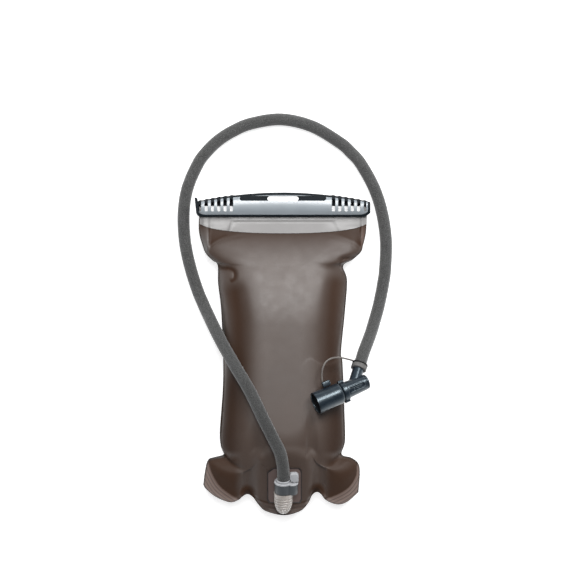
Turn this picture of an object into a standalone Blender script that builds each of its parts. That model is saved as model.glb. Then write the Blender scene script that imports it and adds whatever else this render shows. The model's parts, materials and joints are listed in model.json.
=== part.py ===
"""Two litre hydration bladder: film bag, slide bar, quick-connect port, hose and bite valve.

The bladder lies on its back on the plane z = 0, front face up (+Z). +X is to the right of the
front face, +Y runs from the port at the bottom to the slide bar at the top.
Sizes below are in millimetres and are multiplied by MM.
"""
import math

import bmesh
import bpy
from mathutils import Matrix, Vector
from mathutils.bvhtree import BVHTree

MM = 0.001
GAP = 0.3                       # clearance left between pieces that touch

# ---- driving dimensions (mm) ----
BAR_HALF = 100.7                # slide bar, half its length
BAR_BOTTOM = 157.5              # Y of the bar's bottom lip
BAR_TOP = 185.3                 # Y of the bar's top edge at the middle
BAR_ARCH = 9.8                  # drop of the top edge at 95 mm from the middle
BAR_BACK = 20.5                 # Z of the bar's underside
BAR_FRONT = 33.5                # Z of the inner channel's front wall
COVER_CROWN = 38.2              # Z of the grey cover at its highest
CHANNEL_WALL = 1.8
END_START = 92.0                # X past which the bar's bottom corners round up
END_LIFT = 4.5                  # how far they rise
LIP_DEPTH = 3.0                 # the channel's lips along its underside
LIP_LAG = 1.3                   # how far a corner rises before its lip rises too
SLIT_HALF = 2.4                 # half the opening between the lips
SLIT_FLARE = 2.2                # what it gains past the rails' ends
SLOT_WIDTH = 4.0
SLOT_PITCH = 7.2
SLOT_COUNT = 6
SLOT_INNER_X = 58.5             # centre of the slot nearest the middle
HANGER_LENGTH = 99.0
HANGER_HEIGHT = 5.6
HANGER_Y = 178.4
WINDOW_LENGTH = 36.0            # part of the hanger slot that goes right through

SEAM_Z = 27.0                   # plane of the welded edge of the bag
FILM = 0.6                      # film thickness
BAG_RISE = 29.6                 # height of the front film over the seam
BACK_FALL = 30.5                # depth of the back film under the seam, before the floor
WELD = 6.0                      # width of the flat welded edge
NECK_Y = 161.4                  # film ends here, inside the bar
NECK_FLAT = 10.5                # the film lies flat this far below its end
SIDE_REACH = 48.0               # the bag swells to its full height over these distances:
FOOT_REACH = 95.0               # from the sides, from the foot and from the neck
NECK_REACH = 62.0
FOLD_TOP = 169.2                # Y of the folded mouth's upper edge
FOLD_R = 1.7                    # half the fold's thickness
RAIL_LOW, RAIL_HIGH = 161.2, 169.8  # Y of the edges of the rails on the mouth
RAIL_DEPTH = 4.4                # from the seam's plane to a rail's outer face
RAIL_CHAMFER = 0.8
RAIL_HALF = 93.0
COLLAR_BOTTOM = 138.5           # Y of the collar band's lower edge at the middle
COLLAR_RISE = 7.9               # how much higher that edge is at the sides

PORT_TILT = 23.0                # degrees between the hose plug's axis and the bag's back
PORT_FACE = (1.0, -143.4, 56.0)  # centre of the latch plate's face, on the plug's axis
PORT_DEPTH = 12.7               # from that axis down to the film
PORT_FLAT_HALF = 27.0           # half width of the flat of film round the port
PORT_FLAT_TOP = -117.0          # Y of its upper edge
PORT_FLAT_BLEND = 14.0          # width of the slope round it
BUTTON_AT = (12.6, -2.8)        # release button's axis, beside the plug's
PLUG_R = 6.1

HOSE_R = 7.0
VALVE_END = (95.8, -30.4, 52.0)  # right-hand end of the valve's axis
VALVE_MOUTH = (37.4, -54.6, 70.0)  # mouth of the dust cap
VALVE_UP = (-0.397, 0.918, 0.0)  # side of the valve on which the cap's lug stands
STUB_JOIN = 18.3                # along the valve's axis, where the hose stub meets it
STUB_DIR = (0.29, 0.845, -0.449)  # from the valve's axis towards the hose
STUB_LENGTH = 23.6

# Outline of the bag: the left edge from the collar down, then the bottom edge from left to
# right, then the right edge from the collar down.
LEFT_EDGE = [
    (-95.5, NECK_Y), (-96.0, 141), (-91, 122), (-87, 114), (-80, 107), (-74.5, 102), (-74, 81),
    (-70.7, 53), (-68.4, 5), (-68.4, -37), (-71.9, -88), (-70.7, -106), (-67.3, -115),
    (-76, -118), (-85, -121), (-88.5, -131), (-91, -150),
]
BOTTOM_EDGE = [
    (-91, -150), (-88, -155), (-77, -164), (-61, -170.4), (-51, -168), (-45.5, -163.5),
    (-40, -161), (-34, -164.5), (-28, -172.5), (-19, -180.7), (1.8, -185.3), (20, -180.7),
    (29.4, -171.5), (34, -162.3), (39.4, -158.6), (44.3, -161.2), (50, -168), (62.4, -172.9),
    (74.2, -170), (87.3, -158.8),
]
RIGHT_EDGE = [
    (97.0, NECK_Y), (96, 140), (92.6, 125), (90, 117), (80, 108), (69.6, 101), (74.2, 85),
    (71.9, 50), (67.3, 2), (69, -9), (70.8, -58), (71.9, -99), (67.9, -115), (79, -119),
    (87, -125.5), (88.9, -136), (87.3, -158.8),
]

# Route of the hose's centre line, from the port round to the bite valve.
HOSE_ROUTE = [
    (0.2, -124, 63.4), (-2.5, -111, 65.9), (-8.7, -98, 66.3), (-22, -71.5, 66), (-37.5, -40, 63),
    (-56.5, -8.5, 52.5), (-72.2, 18.5, 36.5), (-86, 45.5, 18), (-92.5, 59.5, 11.5),
    (-98.4, 73.5, 8.2), (-107.1, 101, 7.3), (-113, 130, 7.3), (-114.5, 162, 7.3),
    (-110, 191.5, 7.3), (-98, 219.5, 7.3), (-88, 233.5, 7.3), (-74, 247, 7.3),
    (-56.5, 258, 7.3), (-36, 266.3, 7.3), (-1.7, 271.1, 7.3), (34.2, 263, 7.3),
    (66.6, 244, 7.3), (79, 233, 7.3), (90.5, 220, 7.3), (106, 192, 7.3), (115.3, 163, 7.3),
    (119.9, 130, 7.3), (118.8, 97, 7.3), (116.6, 81, 7.6), (113.8, 66.5, 8.8),
    (110.4, 52, 11.8), (106.2, 38, 16.8), (101.5, 23.5, 23.8),
]
# Route of the dust cap's tether, from the cap's lug to the loop round the hose.
TETHER_ROUTE = [
    (45.1, -29.9, 65.7), (44.5, -22.5, 68.0), (45.6, -14.5, 69.4), (49.0, -7.8, 69.4),
    (54.5, -4.0, 67.8), (61.0, -2.8, 64.6), (67.5, -3.4, 60.2), (74.0, -5.0, 54.2),
    (80.3, -6.9, 46.4),
]


# ---- helpers ----
def clear_scene():
    for obj in list(bpy.data.objects):
        bpy.data.objects.remove(obj, do_unlink=True)


def material(name, colour, roughness, metallic=0.0, alpha=1.0):
    mat = bpy.data.materials.new(name)
    mat.use_nodes = True
    shader = mat.node_tree.nodes["Principled BSDF"]
    shader.inputs["Base Color"].default_value = (*colour, 1.0)
    shader.inputs["Roughness"].default_value = roughness
    shader.inputs["Metallic"].default_value = metallic
    shader.inputs["Alpha"].default_value = alpha
    return mat


def make_object(name, bm, mat, parent=None, smooth=40):
    """Turn a bmesh, given in millimetres, into a named object with outward normals."""
    bmesh.ops.recalc_face_normals(bm, faces=bm.faces)
    bmesh.ops.scale(bm, vec=(MM, MM, MM), verts=bm.verts)
    mesh = bpy.data.meshes.new(name)
    bm.to_mesh(mesh)
    bm.free()
    mesh.shade_smooth()
    mesh.set_sharp_from_angle(angle=math.radians(smooth))
    obj = bpy.data.objects.new(name, mesh)
    bpy.context.scene.collection.objects.link(obj)
    if mat:
        mesh.materials.append(mat)
    if parent:
        obj.parent = parent
    return obj


def make_empty(name, location, rotation):
    empty = bpy.data.objects.new(name, None)
    bpy.context.scene.collection.objects.link(empty)
    empty.matrix_world = Matrix.Translation(Vector(location) * MM) @ rotation.to_4x4()
    return empty


def add_boolean(obj, other, operation):
    """Cut or join another object, which then stays in the file as a hidden guide."""
    other.hide_render = True
    other.display_type = 'WIRE'
    mod = obj.modifiers.new(f"{operation.lower()} {other.name}", 'BOOLEAN')
    mod.operation = operation
    mod.object = other
    mod.solver = 'EXACT'


def add_loft(bm, sections):
    """Join closed sections of equal length with side faces and cap both ends."""
    rings = [[bm.verts.new(point) for point in section] for section in sections]
    count = len(rings[0])
    for lower, upper in zip(rings, rings[1:]):
        for i in range(count):
            j = (i + 1) % count
            bm.faces.new((lower[i], lower[j], upper[j], upper[i]))
    bm.faces.new(rings[0])
    bm.faces.new(rings[-1])


def loft(name, sections, mat, parent=None, smooth=40):
    bm = bmesh.new()
    add_loft(bm, sections)
    return make_object(name, bm, mat, parent, smooth)


def add_turned(bm, profile, segments, centre=(0.0, 0.0)):
    """Spin a closed (radius, height) profile round local Z. Radius 0 closes on the axis."""
    rings = []
    for radius, height in profile:
        if radius == 0:
            rings.append([bm.verts.new((centre[0], centre[1], height))])
            continue
        rings.append([
            bm.verts.new((centre[0] + radius * math.cos(math.tau * i / segments),
                          centre[1] + radius * math.sin(math.tau * i / segments), height))
            for i in range(segments)])
    for a, b in zip(rings, rings[1:] + rings[:1]):
        if len(a) == 1 and len(b) == 1:
            continue
        for i in range(segments):
            j = (i + 1) % segments
            corners = [a[i % len(a)], a[j % len(a)], b[j % len(b)], b[i % len(b)]]
            bm.faces.new(list(dict.fromkeys(corners)))


def turned(name, profile, mat, parent=None, segments=24, centre=(0.0, 0.0), smooth=40):
    bm = bmesh.new()
    add_turned(bm, profile, segments, centre)
    return make_object(name, bm, mat, parent, smooth)


def ring(radius, thickness, height, steps=8):
    """Round section of an O-ring, as a closed profile for turned()."""
    return [(radius + thickness * math.cos(math.tau * i / steps),
             height + thickness * math.sin(math.tau * i / steps)) for i in range(steps)]


def rod(name, start, end, radius, mat, parent=None, segments=20):
    """Straight round rod between two points."""
    axis = Vector(end) - Vector(start)
    bm = bmesh.new()
    add_turned(bm, [(0, 0), (radius, 0), (radius, axis.length), (0, axis.length)], segments)
    turn = axis.to_track_quat('Z', 'Y').to_matrix().to_4x4()
    bmesh.ops.transform(bm, matrix=Matrix.Translation(start) @ turn, verts=bm.verts)
    return make_object(name, bm, mat, parent)


def rounded_slot(centre_x, centre_y, length, height, steps=6):
    """Outline of a slot with round ends, along X."""
    radius = height / 2
    reach = length / 2 - radius
    outline = []
    for side, first in ((1, -90), (-1, 90)):
        for i in range(steps + 1):
            angle = math.radians(first + 180 * i / steps)
            outline.append((centre_x + side * reach + radius * math.cos(angle),
                            centre_y + radius * math.sin(angle)))
    return outline


def prism(name, outline, low, high, mat, parent=None, smooth=40):
    """Extrude a closed XY outline between two heights."""
    return loft(name, [[(x, y, low) for x, y in outline], [(x, y, high) for x, y in outline]],
                mat, parent, smooth)


def lobed_outline(radius, lobe, lobe_radius, segments=40):
    """Outer outline of a circle joined to a smaller circle beside it."""
    lobe = Vector(lobe)
    outline = []
    for i in range(segments):
        angle = math.tau * i / segments
        ray = Vector((math.cos(angle), math.sin(angle)))
        along = ray.dot(lobe)
        inside = lobe_radius ** 2 - (lobe.length_squared - along ** 2)
        reach = along + math.sqrt(inside) if inside > 0 else 0.0
        outline.append(tuple(ray * max(radius, reach)))
    return outline


def box_outline(low_x, high_x, low_y, high_y):
    return [(low_x, low_y), (high_x, low_y), (high_x, high_y), (low_x, high_y)]


def catmull_rom(points, per_span):
    """Smooth curve through the points, with per_span steps between each two."""
    pts = [Vector(p) for p in points]
    pts = [2 * pts[0] - pts[1]] + pts + [2 * pts[-1] - pts[-2]]
    curve = []
    for a, b, c, d in zip(pts, pts[1:], pts[2:], pts[3:]):
        for i in range(per_span):
            t = i / per_span
            curve.append(0.5 * ((2 * b) + (c - a) * t + (2 * a - 5 * b + 4 * c - d) * t * t
                                + (3 * b - 3 * c + d - a) * t ** 3))
    return curve + [pts[-2]]


def evenly(curve, count):
    """Resample a curve at equal distances along it."""
    lengths = [0.0]
    for a, b in zip(curve, curve[1:]):
        lengths.append(lengths[-1] + (b - a).length)
    samples = []
    k = 0
    for i in range(count):
        target = lengths[-1] * i / (count - 1)
        while k < len(curve) - 2 and lengths[k + 1] < target:
            k += 1
        span = lengths[k + 1] - lengths[k]
        samples.append(curve[k].lerp(curve[k + 1], (target - lengths[k]) / span))
    return samples


def tube(name, centre_line, radius, mat, resolution):
    """Round cord along a centre line, as a bevelled curve with filled ends."""
    data = bpy.data.curves.new(name, 'CURVE')
    data.dimensions = '3D'
    data.bevel_depth = radius * MM
    data.bevel_resolution = resolution
    data.use_fill_caps = True
    spline = data.splines.new('POLY')
    spline.points.add(len(centre_line) - 1)
    for point, place in zip(spline.points, centre_line):
        point.co = (*(place * MM), 1.0)
    data.materials.append(mat)
    obj = bpy.data.objects.new(name, data)
    bpy.context.scene.collection.objects.link(obj)
    return obj


# ---- bag ----
def edge_curves(columns, rows):
    """The four sides of the bag's outline, sampled evenly enough to keep lobes and pinches."""
    left = evenly(catmull_rom([(x, y, 0) for x, y in LEFT_EDGE], 8), rows + 1)
    right = evenly(catmull_rom([(x, y, 0) for x, y in RIGHT_EDGE], 8), rows + 1)
    bottom = evenly(catmull_rom([(x, y, 0) for x, y in BOTTOM_EDGE], 8), columns + 1)
    return left, right, bottom


def outline_point(left, right, bottom, columns, rows, i, j):
    """Point of a Coons patch spanned by the bag's outline."""
    u = i / columns
    v = j / rows
    top = left[0].lerp(right[0], u)
    across = left[j].lerp(right[j], u)
    along = top.lerp(bottom[i], v)
    corners = left[0].lerp(right[0], u).lerp(left[rows].lerp(right[rows], u), v)
    return across + along - corners


def swell(x, y, left_x, right_x, bottom_y):
    """How full the bag is at a point: 0 on the welded edge, 1 in the middle."""
    side = min(x - left_x, right_x - x) - WELD
    foot = y - bottom_y - WELD
    neck = NECK_Y - NECK_FLAT - y

    def ease(distance, reach):
        t = min(1.0, max(0.0, distance / reach))
        return math.sqrt(1 - (1 - t) ** 2)

    def slope(distance, reach):
        t = min(1.0, max(0.0, distance / reach))
        return math.sin(t * math.pi / 2)

    return ease(side, SIDE_REACH) * slope(foot, FOOT_REACH) * slope(neck, NECK_REACH)


def port_plane_z(y):
    """Height of the flat of film that the port stands on."""
    tilt = math.radians(PORT_TILT)
    foot_y = PORT_FACE[1] + PORT_DEPTH * math.sin(tilt)
    foot_z = PORT_FACE[2] - PORT_DEPTH * math.cos(tilt)
    return foot_z + (y - foot_y) * math.tan(tilt)


def port_weight(x, y):
    """1 on the flat round the port, fading to 0 on the slope round it."""
    out_x = max(0.0, abs(x - PORT_FACE[0]) - PORT_FLAT_HALF)
    out_y = max(0.0, y - PORT_FLAT_TOP)
    t = max(0.0, 1 - math.hypot(out_x, out_y) / PORT_FLAT_BLEND)
    return t * t * (3 - 2 * t)


def film_sheet(name, front, mat):
    columns, rows = 20, 30
    left, right, bottom = edge_curves(columns, rows)
    bm = bmesh.new()
    grid = []
    for j in range(rows + 1):
        line = []
        for i in range(columns + 1):
            p = outline_point(left, right, bottom, columns, rows, i, j)
            fullness = swell(p.x, p.y, left[j].x, right[j].x, bottom[i].y)
            if front:
                height = SEAM_Z + GAP / 2 + FILM + BAG_RISE * fullness
                on_edge = i in (0, columns) or j in (0, rows)
                if not on_edge:
                    flat = max(port_plane_z(p.y), SEAM_Z + GAP / 2 + FILM)
                    height += (flat - height) * port_weight(p.x, p.y)
            else:
                height = max(0.0, SEAM_Z - GAP / 2 - FILM - BACK_FALL * fullness)
            line.append(bm.verts.new((p.x, p.y, height)))
        grid.append(line)
    for upper, lower in zip(grid, grid[1:]):
        for i in range(columns):
            face = [lower[i], lower[i + 1], upper[i + 1], upper[i]]
            bm.faces.new(face if front else face[::-1])
    bmesh.ops.triangulate(bm, faces=bm.faces)
    bmesh.ops.scale(bm, vec=(MM, MM, MM), verts=bm.verts)
    mesh = bpy.data.meshes.new(name)
    bm.to_mesh(mesh)
    bm.free()
    mesh.materials.append(mat)
    mesh.shade_smooth()
    obj = bpy.data.objects.new(name, mesh)
    bpy.context.scene.collection.objects.link(obj)
    shell = obj.modifiers.new("film thickness", 'SOLIDIFY')
    shell.thickness = FILM * MM
    shell.offset = -1
    return obj


def collar_band(name, film, side, mat):
    """Reinforcing band across the neck, laid on the outside of a film (side 1 front, -1 back)."""
    columns, steps = 32, 4
    surface = BVHTree.FromPolygons([v.co / MM for v in film.data.vertices],
                                   [p.vertices for p in film.data.polygons])
    sections = []
    for i in range(columns + 1):
        across = 2 * i / columns - 1
        x = RAIL_HALF * across
        foot = COLLAR_BOTTOM + COLLAR_RISE * abs(across) ** 2.5
        outer = []
        inner = []
        for k in range(steps + 1):
            y = NECK_Y + (foot - NECK_Y) * k / steps
            film_z = surface.ray_cast(Vector((x, min(y, NECK_Y - 0.1), side * 200)),
                                      Vector((0, 0, -side)))[0].z
            lift = GAP + 0.6 * min(1.0, max(0.0, (BAR_BOTTOM - y) / 4.0))
            inner.append((x, y, film_z + side * lift))
            outer.append((x, y, film_z + side * (lift + FILM)))
        sections.append(inner + outer[::-1])
    return loft(name, sections, mat)


def build_bag():
    film = material("bag_film", (0.16, 0.12, 0.10), 0.3, alpha=0.85)
    collar = material("collar_film", (0.55, 0.52, 0.50), 0.4)
    rail = material("rail", (0.90, 0.91, 0.92), 0.35)
    front = film_sheet("bag_front_film", True, film)
    back = film_sheet("bag_back_film", False, film)
    collar_band("collar_front", front, 1, collar)
    collar_band("collar_back", back, -1, collar)

    fold_low = NECK_Y + GAP
    fold = [(fold_low, SEAM_Z - FOLD_R)]
    fold += [(FOLD_TOP - FOLD_R + FOLD_R * math.sin(math.radians(a)),
              SEAM_Z - FOLD_R * math.cos(math.radians(a))) for a in range(0, 181, 30)]
    fold.append((fold_low, SEAM_Z + FOLD_R))
    ends = (LEFT_EDGE[0][0], RIGHT_EDGE[0][0])
    loft("mouth_fold", [[(x, y, z) for y, z in fold] for x in ends], film)

    for name, side in (("rail_front", 1), ("rail_back", -1)):
        inner = SEAM_Z + side * (FOLD_R + GAP)
        outer = SEAM_Z + side * RAIL_DEPTH
        shoulder = outer - side * RAIL_CHAMFER
        bead = [(RAIL_LOW, inner), (RAIL_HIGH, inner), (RAIL_HIGH, shoulder),
                (RAIL_HIGH - RAIL_CHAMFER, outer), (RAIL_LOW + RAIL_CHAMFER, outer),
                (RAIL_LOW, shoulder)]
        loft(name, [[(x, y, z) for y, z in bead] for x in (-RAIL_HALF, RAIL_HALF)], rail)
    return front


# ---- slide bar ----
def bar_top(x, inset=0.0):
    """Y of the bar's arched top edge."""
    return BAR_TOP - inset - BAR_ARCH * (x / 95.0) ** 2


def bar_stations(low_x, high_x, count):
    """Places along the bar, closer together towards its rounded ends."""
    middle, half = (low_x + high_x) / 2, (high_x - low_x) / 2
    return [middle - half * math.cos(math.pi * i / count) for i in range(count + 1)]


def slot_centres():
    for side in (-1, 1):
        for k in range(SLOT_COUNT):
            yield side * (SLOT_INNER_X + SLOT_PITCH * k)


def slot_cutter(name, low_y, low_z, high_z, through_top):
    """Bars that cut the row of slots at each end, as one object of separate bodies."""
    bm = bmesh.new()
    for x in slot_centres():
        shrink = 0.7 if abs(x) > SLOT_INNER_X + SLOT_PITCH * (SLOT_COUNT - 1.5) else 1.0
        half = SLOT_WIDTH / 2 * shrink
        top = bar_top(x, -4.0 if through_top else 5.0)
        outline = [(x - half, low_y + 1), (x - half + 1, low_y), (x + half - 1, low_y),
                   (x + half, low_y + 1), (x + half, top), (x - half, top)]
        add_loft(bm, [[(px, py, low_z) for px, py in outline],
                      [(px, py, high_z) for px, py in outline]])
    return make_object(name, bm, None)


def build_channel():
    """Dark C-shaped channel that grips the rails, closed at its left end by an upright tab."""
    dark = material("bar_channel", (0.035, 0.05, 0.06), 0.35)
    sections = []
    for x in bar_stations(-BAR_HALF + 3.2, BAR_HALF, 22):
        top = bar_top(x)
        ends = max(0.0, (abs(x) - END_START) / (BAR_HALF - END_START))
        lift = END_LIFT * ends * ends
        low = BAR_BOTTOM + lift
        wall = CHANNEL_WALL
        back = BAR_BACK
        front = BAR_FRONT
        # past the rails' ends the lips rise with the corner, and open so that the rails pass
        lip = BAR_BOTTOM + LIP_DEPTH + max(0.0, lift - LIP_LAG)
        slit = SLIT_HALF + SLIT_FLARE * min(1.0, 2.0 * ends)
        sections.append([
            (x, low, SEAM_Z - slit), (x, low, back + 1.0), (x, low + 1.0, back),
            (x, top - 1.2, back), (x, top, back + 1.2), (x, top, front - 1.2),
            (x, top - 1.2, front), (x, low + 1.0, front), (x, low, front - 1.0),
            (x, low, SEAM_Z + slit), (x, lip, SEAM_Z + slit), (x, lip, front - wall),
            (x, top - wall, front - wall), (x, top - wall, back + wall), (x, lip, back + wall),
            (x, lip, SEAM_Z - slit),
        ])
    channel = loft("slider_channel", sections, dark, smooth=30)

    end = [(-BAR_HALF, 178.6), (-BAR_HALF + 1.2, 179.4), (-BAR_HALF + 3.0, 179.0),
           (-BAR_HALF + 4.0, 171.0), (-BAR_HALF + 4.6, 157.9), (-BAR_HALF + 2.0, 161.5)]
    add_boolean(channel, prism("end_tab_guide", end, BAR_BACK, BAR_FRONT + 1.2, None), 'UNION')
    low = NECK_Y + 2.2
    add_boolean(channel, slot_cutter("channel_slots", low, SEAM_Z + 3, 40, False), 'DIFFERENCE')
    window = rounded_slot(0.6, HANGER_Y, WINDOW_LENGTH, HANGER_HEIGHT)
    add_boolean(channel, prism("window_cutter", window, 10, 40, None), 'DIFFERENCE')
    return channel


def build_cover():
    """Grey convex front cover with a row of slots at each end and the hanger slot."""
    grey = material("bar_cover", (0.50, 0.55, 0.60), 0.35)
    base = BAR_FRONT + GAP
    crown = COVER_CROWN - base
    sections = []
    for x in bar_stations(-BAR_HALF + 5.2, BAR_HALF - 3.0, 24):
        ends = max(0.0, (abs(x) - 90.0) / (BAR_HALF - 90.0))
        low = BAR_BOTTOM + 2.0 + 6.0 * ends * ends
        top = bar_top(x, 0.9)
        profile = [(0.0, 0.0), (0.0, 0.45), (0.06, 0.72), (0.3, 0.95), (0.55, 1.0), (0.8, 0.85),
                   (0.95, 0.6), (1.0, 0.35), (1.0, 0.0)]
        sections.append([(x, low + (top - low) * t, base + crown * h) for t, h in profile])
    cover = loft("slider_cover", sections, grey, smooth=30)
    low = NECK_Y + 2.0
    add_boolean(cover, slot_cutter("cover_slots", low, 30, 42, True), 'DIFFERENCE')
    hanger = rounded_slot(0.6, HANGER_Y, HANGER_LENGTH, HANGER_HEIGHT)
    add_boolean(cover, prism("hanger_cutter", hanger, 30, 42, None), 'DIFFERENCE')
    return cover


# ---- port ----
def port_frame():
    """Empty on the plug's axis: local +Z leads out along the hose, local +Y into the bag."""
    turn = Matrix.Rotation(math.radians(PORT_TILT - 90), 3, 'X')
    return make_empty("port_axis", PORT_FACE, turn)


def build_port(front_film):
    clear = material("port_clear", (0.62, 0.60, 0.58), 0.25, alpha=0.7)
    dark = material("port_dark", (0.06, 0.065, 0.07), 0.4)
    silver = material("port_silver", (0.72, 0.73, 0.75), 0.3)
    film = material("patch_film", (0.22, 0.16, 0.14), 0.35)
    rubber = material("seal", (0.02, 0.02, 0.02), 0.6)
    steel = material("spring_steel", (0.6, 0.6, 0.62), 0.25, metallic=1.0)
    axis = port_frame()
    foot_s = -27.0                      # along the axis: where the elbow turns into the bag
    end_s = -32.2                       # centre of the elbow's round end
    foot_r = 6.0
    hole_r = foot_r + GAP

    cap_r = 10.8
    body = [(0, -14.3), (cap_r, -14.3)]
    body += [(cap_r * math.cos(math.radians(a)), end_s - cap_r * math.sin(math.radians(a)))
             for a in range(0, 90, 15)]
    body.append((0, end_s - cap_r))
    elbow = turned("port_elbow", body, clear, axis)
    foot_top = (0, 2.0, foot_s)
    foot_end = (0, PORT_DEPTH + 4.6, foot_s)
    add_boolean(elbow, rod("elbow_foot_guide", foot_top, foot_end, foot_r, None, axis), 'UNION')
    add_boolean(elbow, rod("elbow_bore", (0, 0, -10), (0, 0, foot_s - 3.5), 4.6, None, axis, 16),
                'DIFFERENCE')
    add_boolean(elbow, rod("elbow_drain", (0, 1.1, foot_s), (0, 24, foot_s), 3.7, None, axis, 14),
                'DIFFERENCE')

    film_hole = rod("film_hole", (0, 4, foot_s), (0, 22, foot_s), hole_r, None, axis)
    add_boolean(front_film, film_hole, 'DIFFERENCE')

    patch_low, patch_high = PORT_DEPTH - GAP - FILM, PORT_DEPTH - GAP
    outline = [(-18.5, -31), (-16.5, -35), (19.5, -35), (21.2, -31), (21.2, 5), (18.2, 10.5),
               (-12, 10.5), (-18.5, 5)]
    patch = loft("port_patch", [[(x, y, z) for x, z in outline] for y in (patch_low, patch_high)],
                 film, axis)
    add_boolean(patch, film_hole, 'DIFFERENCE')

    flange_top = PORT_DEPTH + FILM + GAP
    flange = rod("port_flange", (0, flange_top, foot_s), (0, flange_top + 2.0, foot_s), 10.0,
                 clear, axis, 24)
    add_boolean(flange, film_hole, 'DIFFERENCE')

    # dark housing with the button's pocket beside the bore
    lobe = (10.0, -2.5)
    housing = prism("port_socket", lobed_outline(10.0, lobe, 6.4), -14, -2.3, dark, axis)
    bore = turned("socket_bore", [(0, -20), (6.4, -20), (6.4, 5), (0, 5)], None, axis)
    pocket = turned("pocket_cutter", [(0, -11), (2.9, -11), (2.9, 5), (0, 5)], None, axis,
                    16, BUTTON_AT)
    add_boolean(housing, bore, 'DIFFERENCE')
    add_boolean(housing, pocket, 'DIFFERENCE')

    plate = prism("latch_plate", lobed_outline(10.4, lobe, 6.9), -2, 0, silver, axis)
    plate_bore = turned("plate_bore", [(0, -4), (6.7, -4), (6.7, 4), (0, 4)], None, axis)
    well = turned("button_well", [(0, -4), (2.9, -4), (2.9, 4), (0, 4)], None, axis,
                  16, BUTTON_AT)
    add_boolean(plate, plate_bore, 'DIFFERENCE')
    add_boolean(plate, well, 'DIFFERENCE')

    # the button's stem stands in the pocket on its spring, its head is a pad over the plate
    head_low, head_high = 2.5, 12.0
    turned("release_button",
           [(0, -6.0), (1.2, -6.0), (1.2, -3.4), (2.5, -3.4), (2.5, head_low), (3.7, head_low),
            (4.2, head_low + 0.5), (4.2, head_high - 2.8), (3.4, head_high - 1.2),
            (2.0, head_high - 0.3), (0, head_high)],
           silver, axis, 20, BUTTON_AT)
    coil(name="button_spring", centre=BUTTON_AT, radius=1.9, wire=0.3,
         low=-10.3, high=-4.1, turns=5, mat=steel, parent=axis)

    # plug on the hose's end
    plug = [(3.0, -13.6), (PLUG_R - 0.6, -13.6), (PLUG_R, -13.0), (PLUG_R, -9.3),
            (PLUG_R - 1.2, -9.3), (PLUG_R - 1.2, -7.3), (PLUG_R, -7.3), (PLUG_R, 1.9), (3.0, 1.9)]
    turned("hose_plug", plug, clear, axis, 24)
    turned("plug_seal", ring(PLUG_R - 0.45, 0.42, -8.3), rubber, axis, 20)
    turned("plug_ring", [(6.5, 0.4), (7.7, 0.4), (8.2, 0.9), (8.2, 1.7), (7.7, 2.2), (6.5, 2.2)],
           silver, axis, 24)
    return axis


def coil(name, centre, radius, wire, low, high, turns, mat, parent):
    """Closed helical wire with round ends, its turns a rule of the angle."""
    per_turn = 8
    sides = 5
    sections = []
    total = turns * per_turn
    for i in range(total + 1):
        angle = math.tau * i / per_turn
        height = low + wire + (high - low - 2 * wire) * i / total
        out = Vector((math.cos(angle), math.sin(angle), 0))
        middle = Vector((centre[0], centre[1], height)) + out * radius
        sections.append([middle + wire * (out * math.cos(math.tau * k / sides)
                                          + Vector((0, 0, 1)) * math.sin(math.tau * k / sides))
                         for k in range(sides)])
    return loft(name, sections, mat, parent)


# ---- bite valve ----
def valve_frame():
    """Empty on the valve's axis: local +Z leads to the mouth, local +Y towards the cap's lug."""
    axis = (Vector(VALVE_MOUTH) - Vector(VALVE_END)).normalized()
    up = Vector(VALVE_UP)
    up = (up - axis * up.dot(axis)).normalized()
    side = up.cross(axis)
    turn = Matrix((side, up, axis)).transposed()
    return make_empty("valve_axis", VALVE_END, turn), turn


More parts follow.
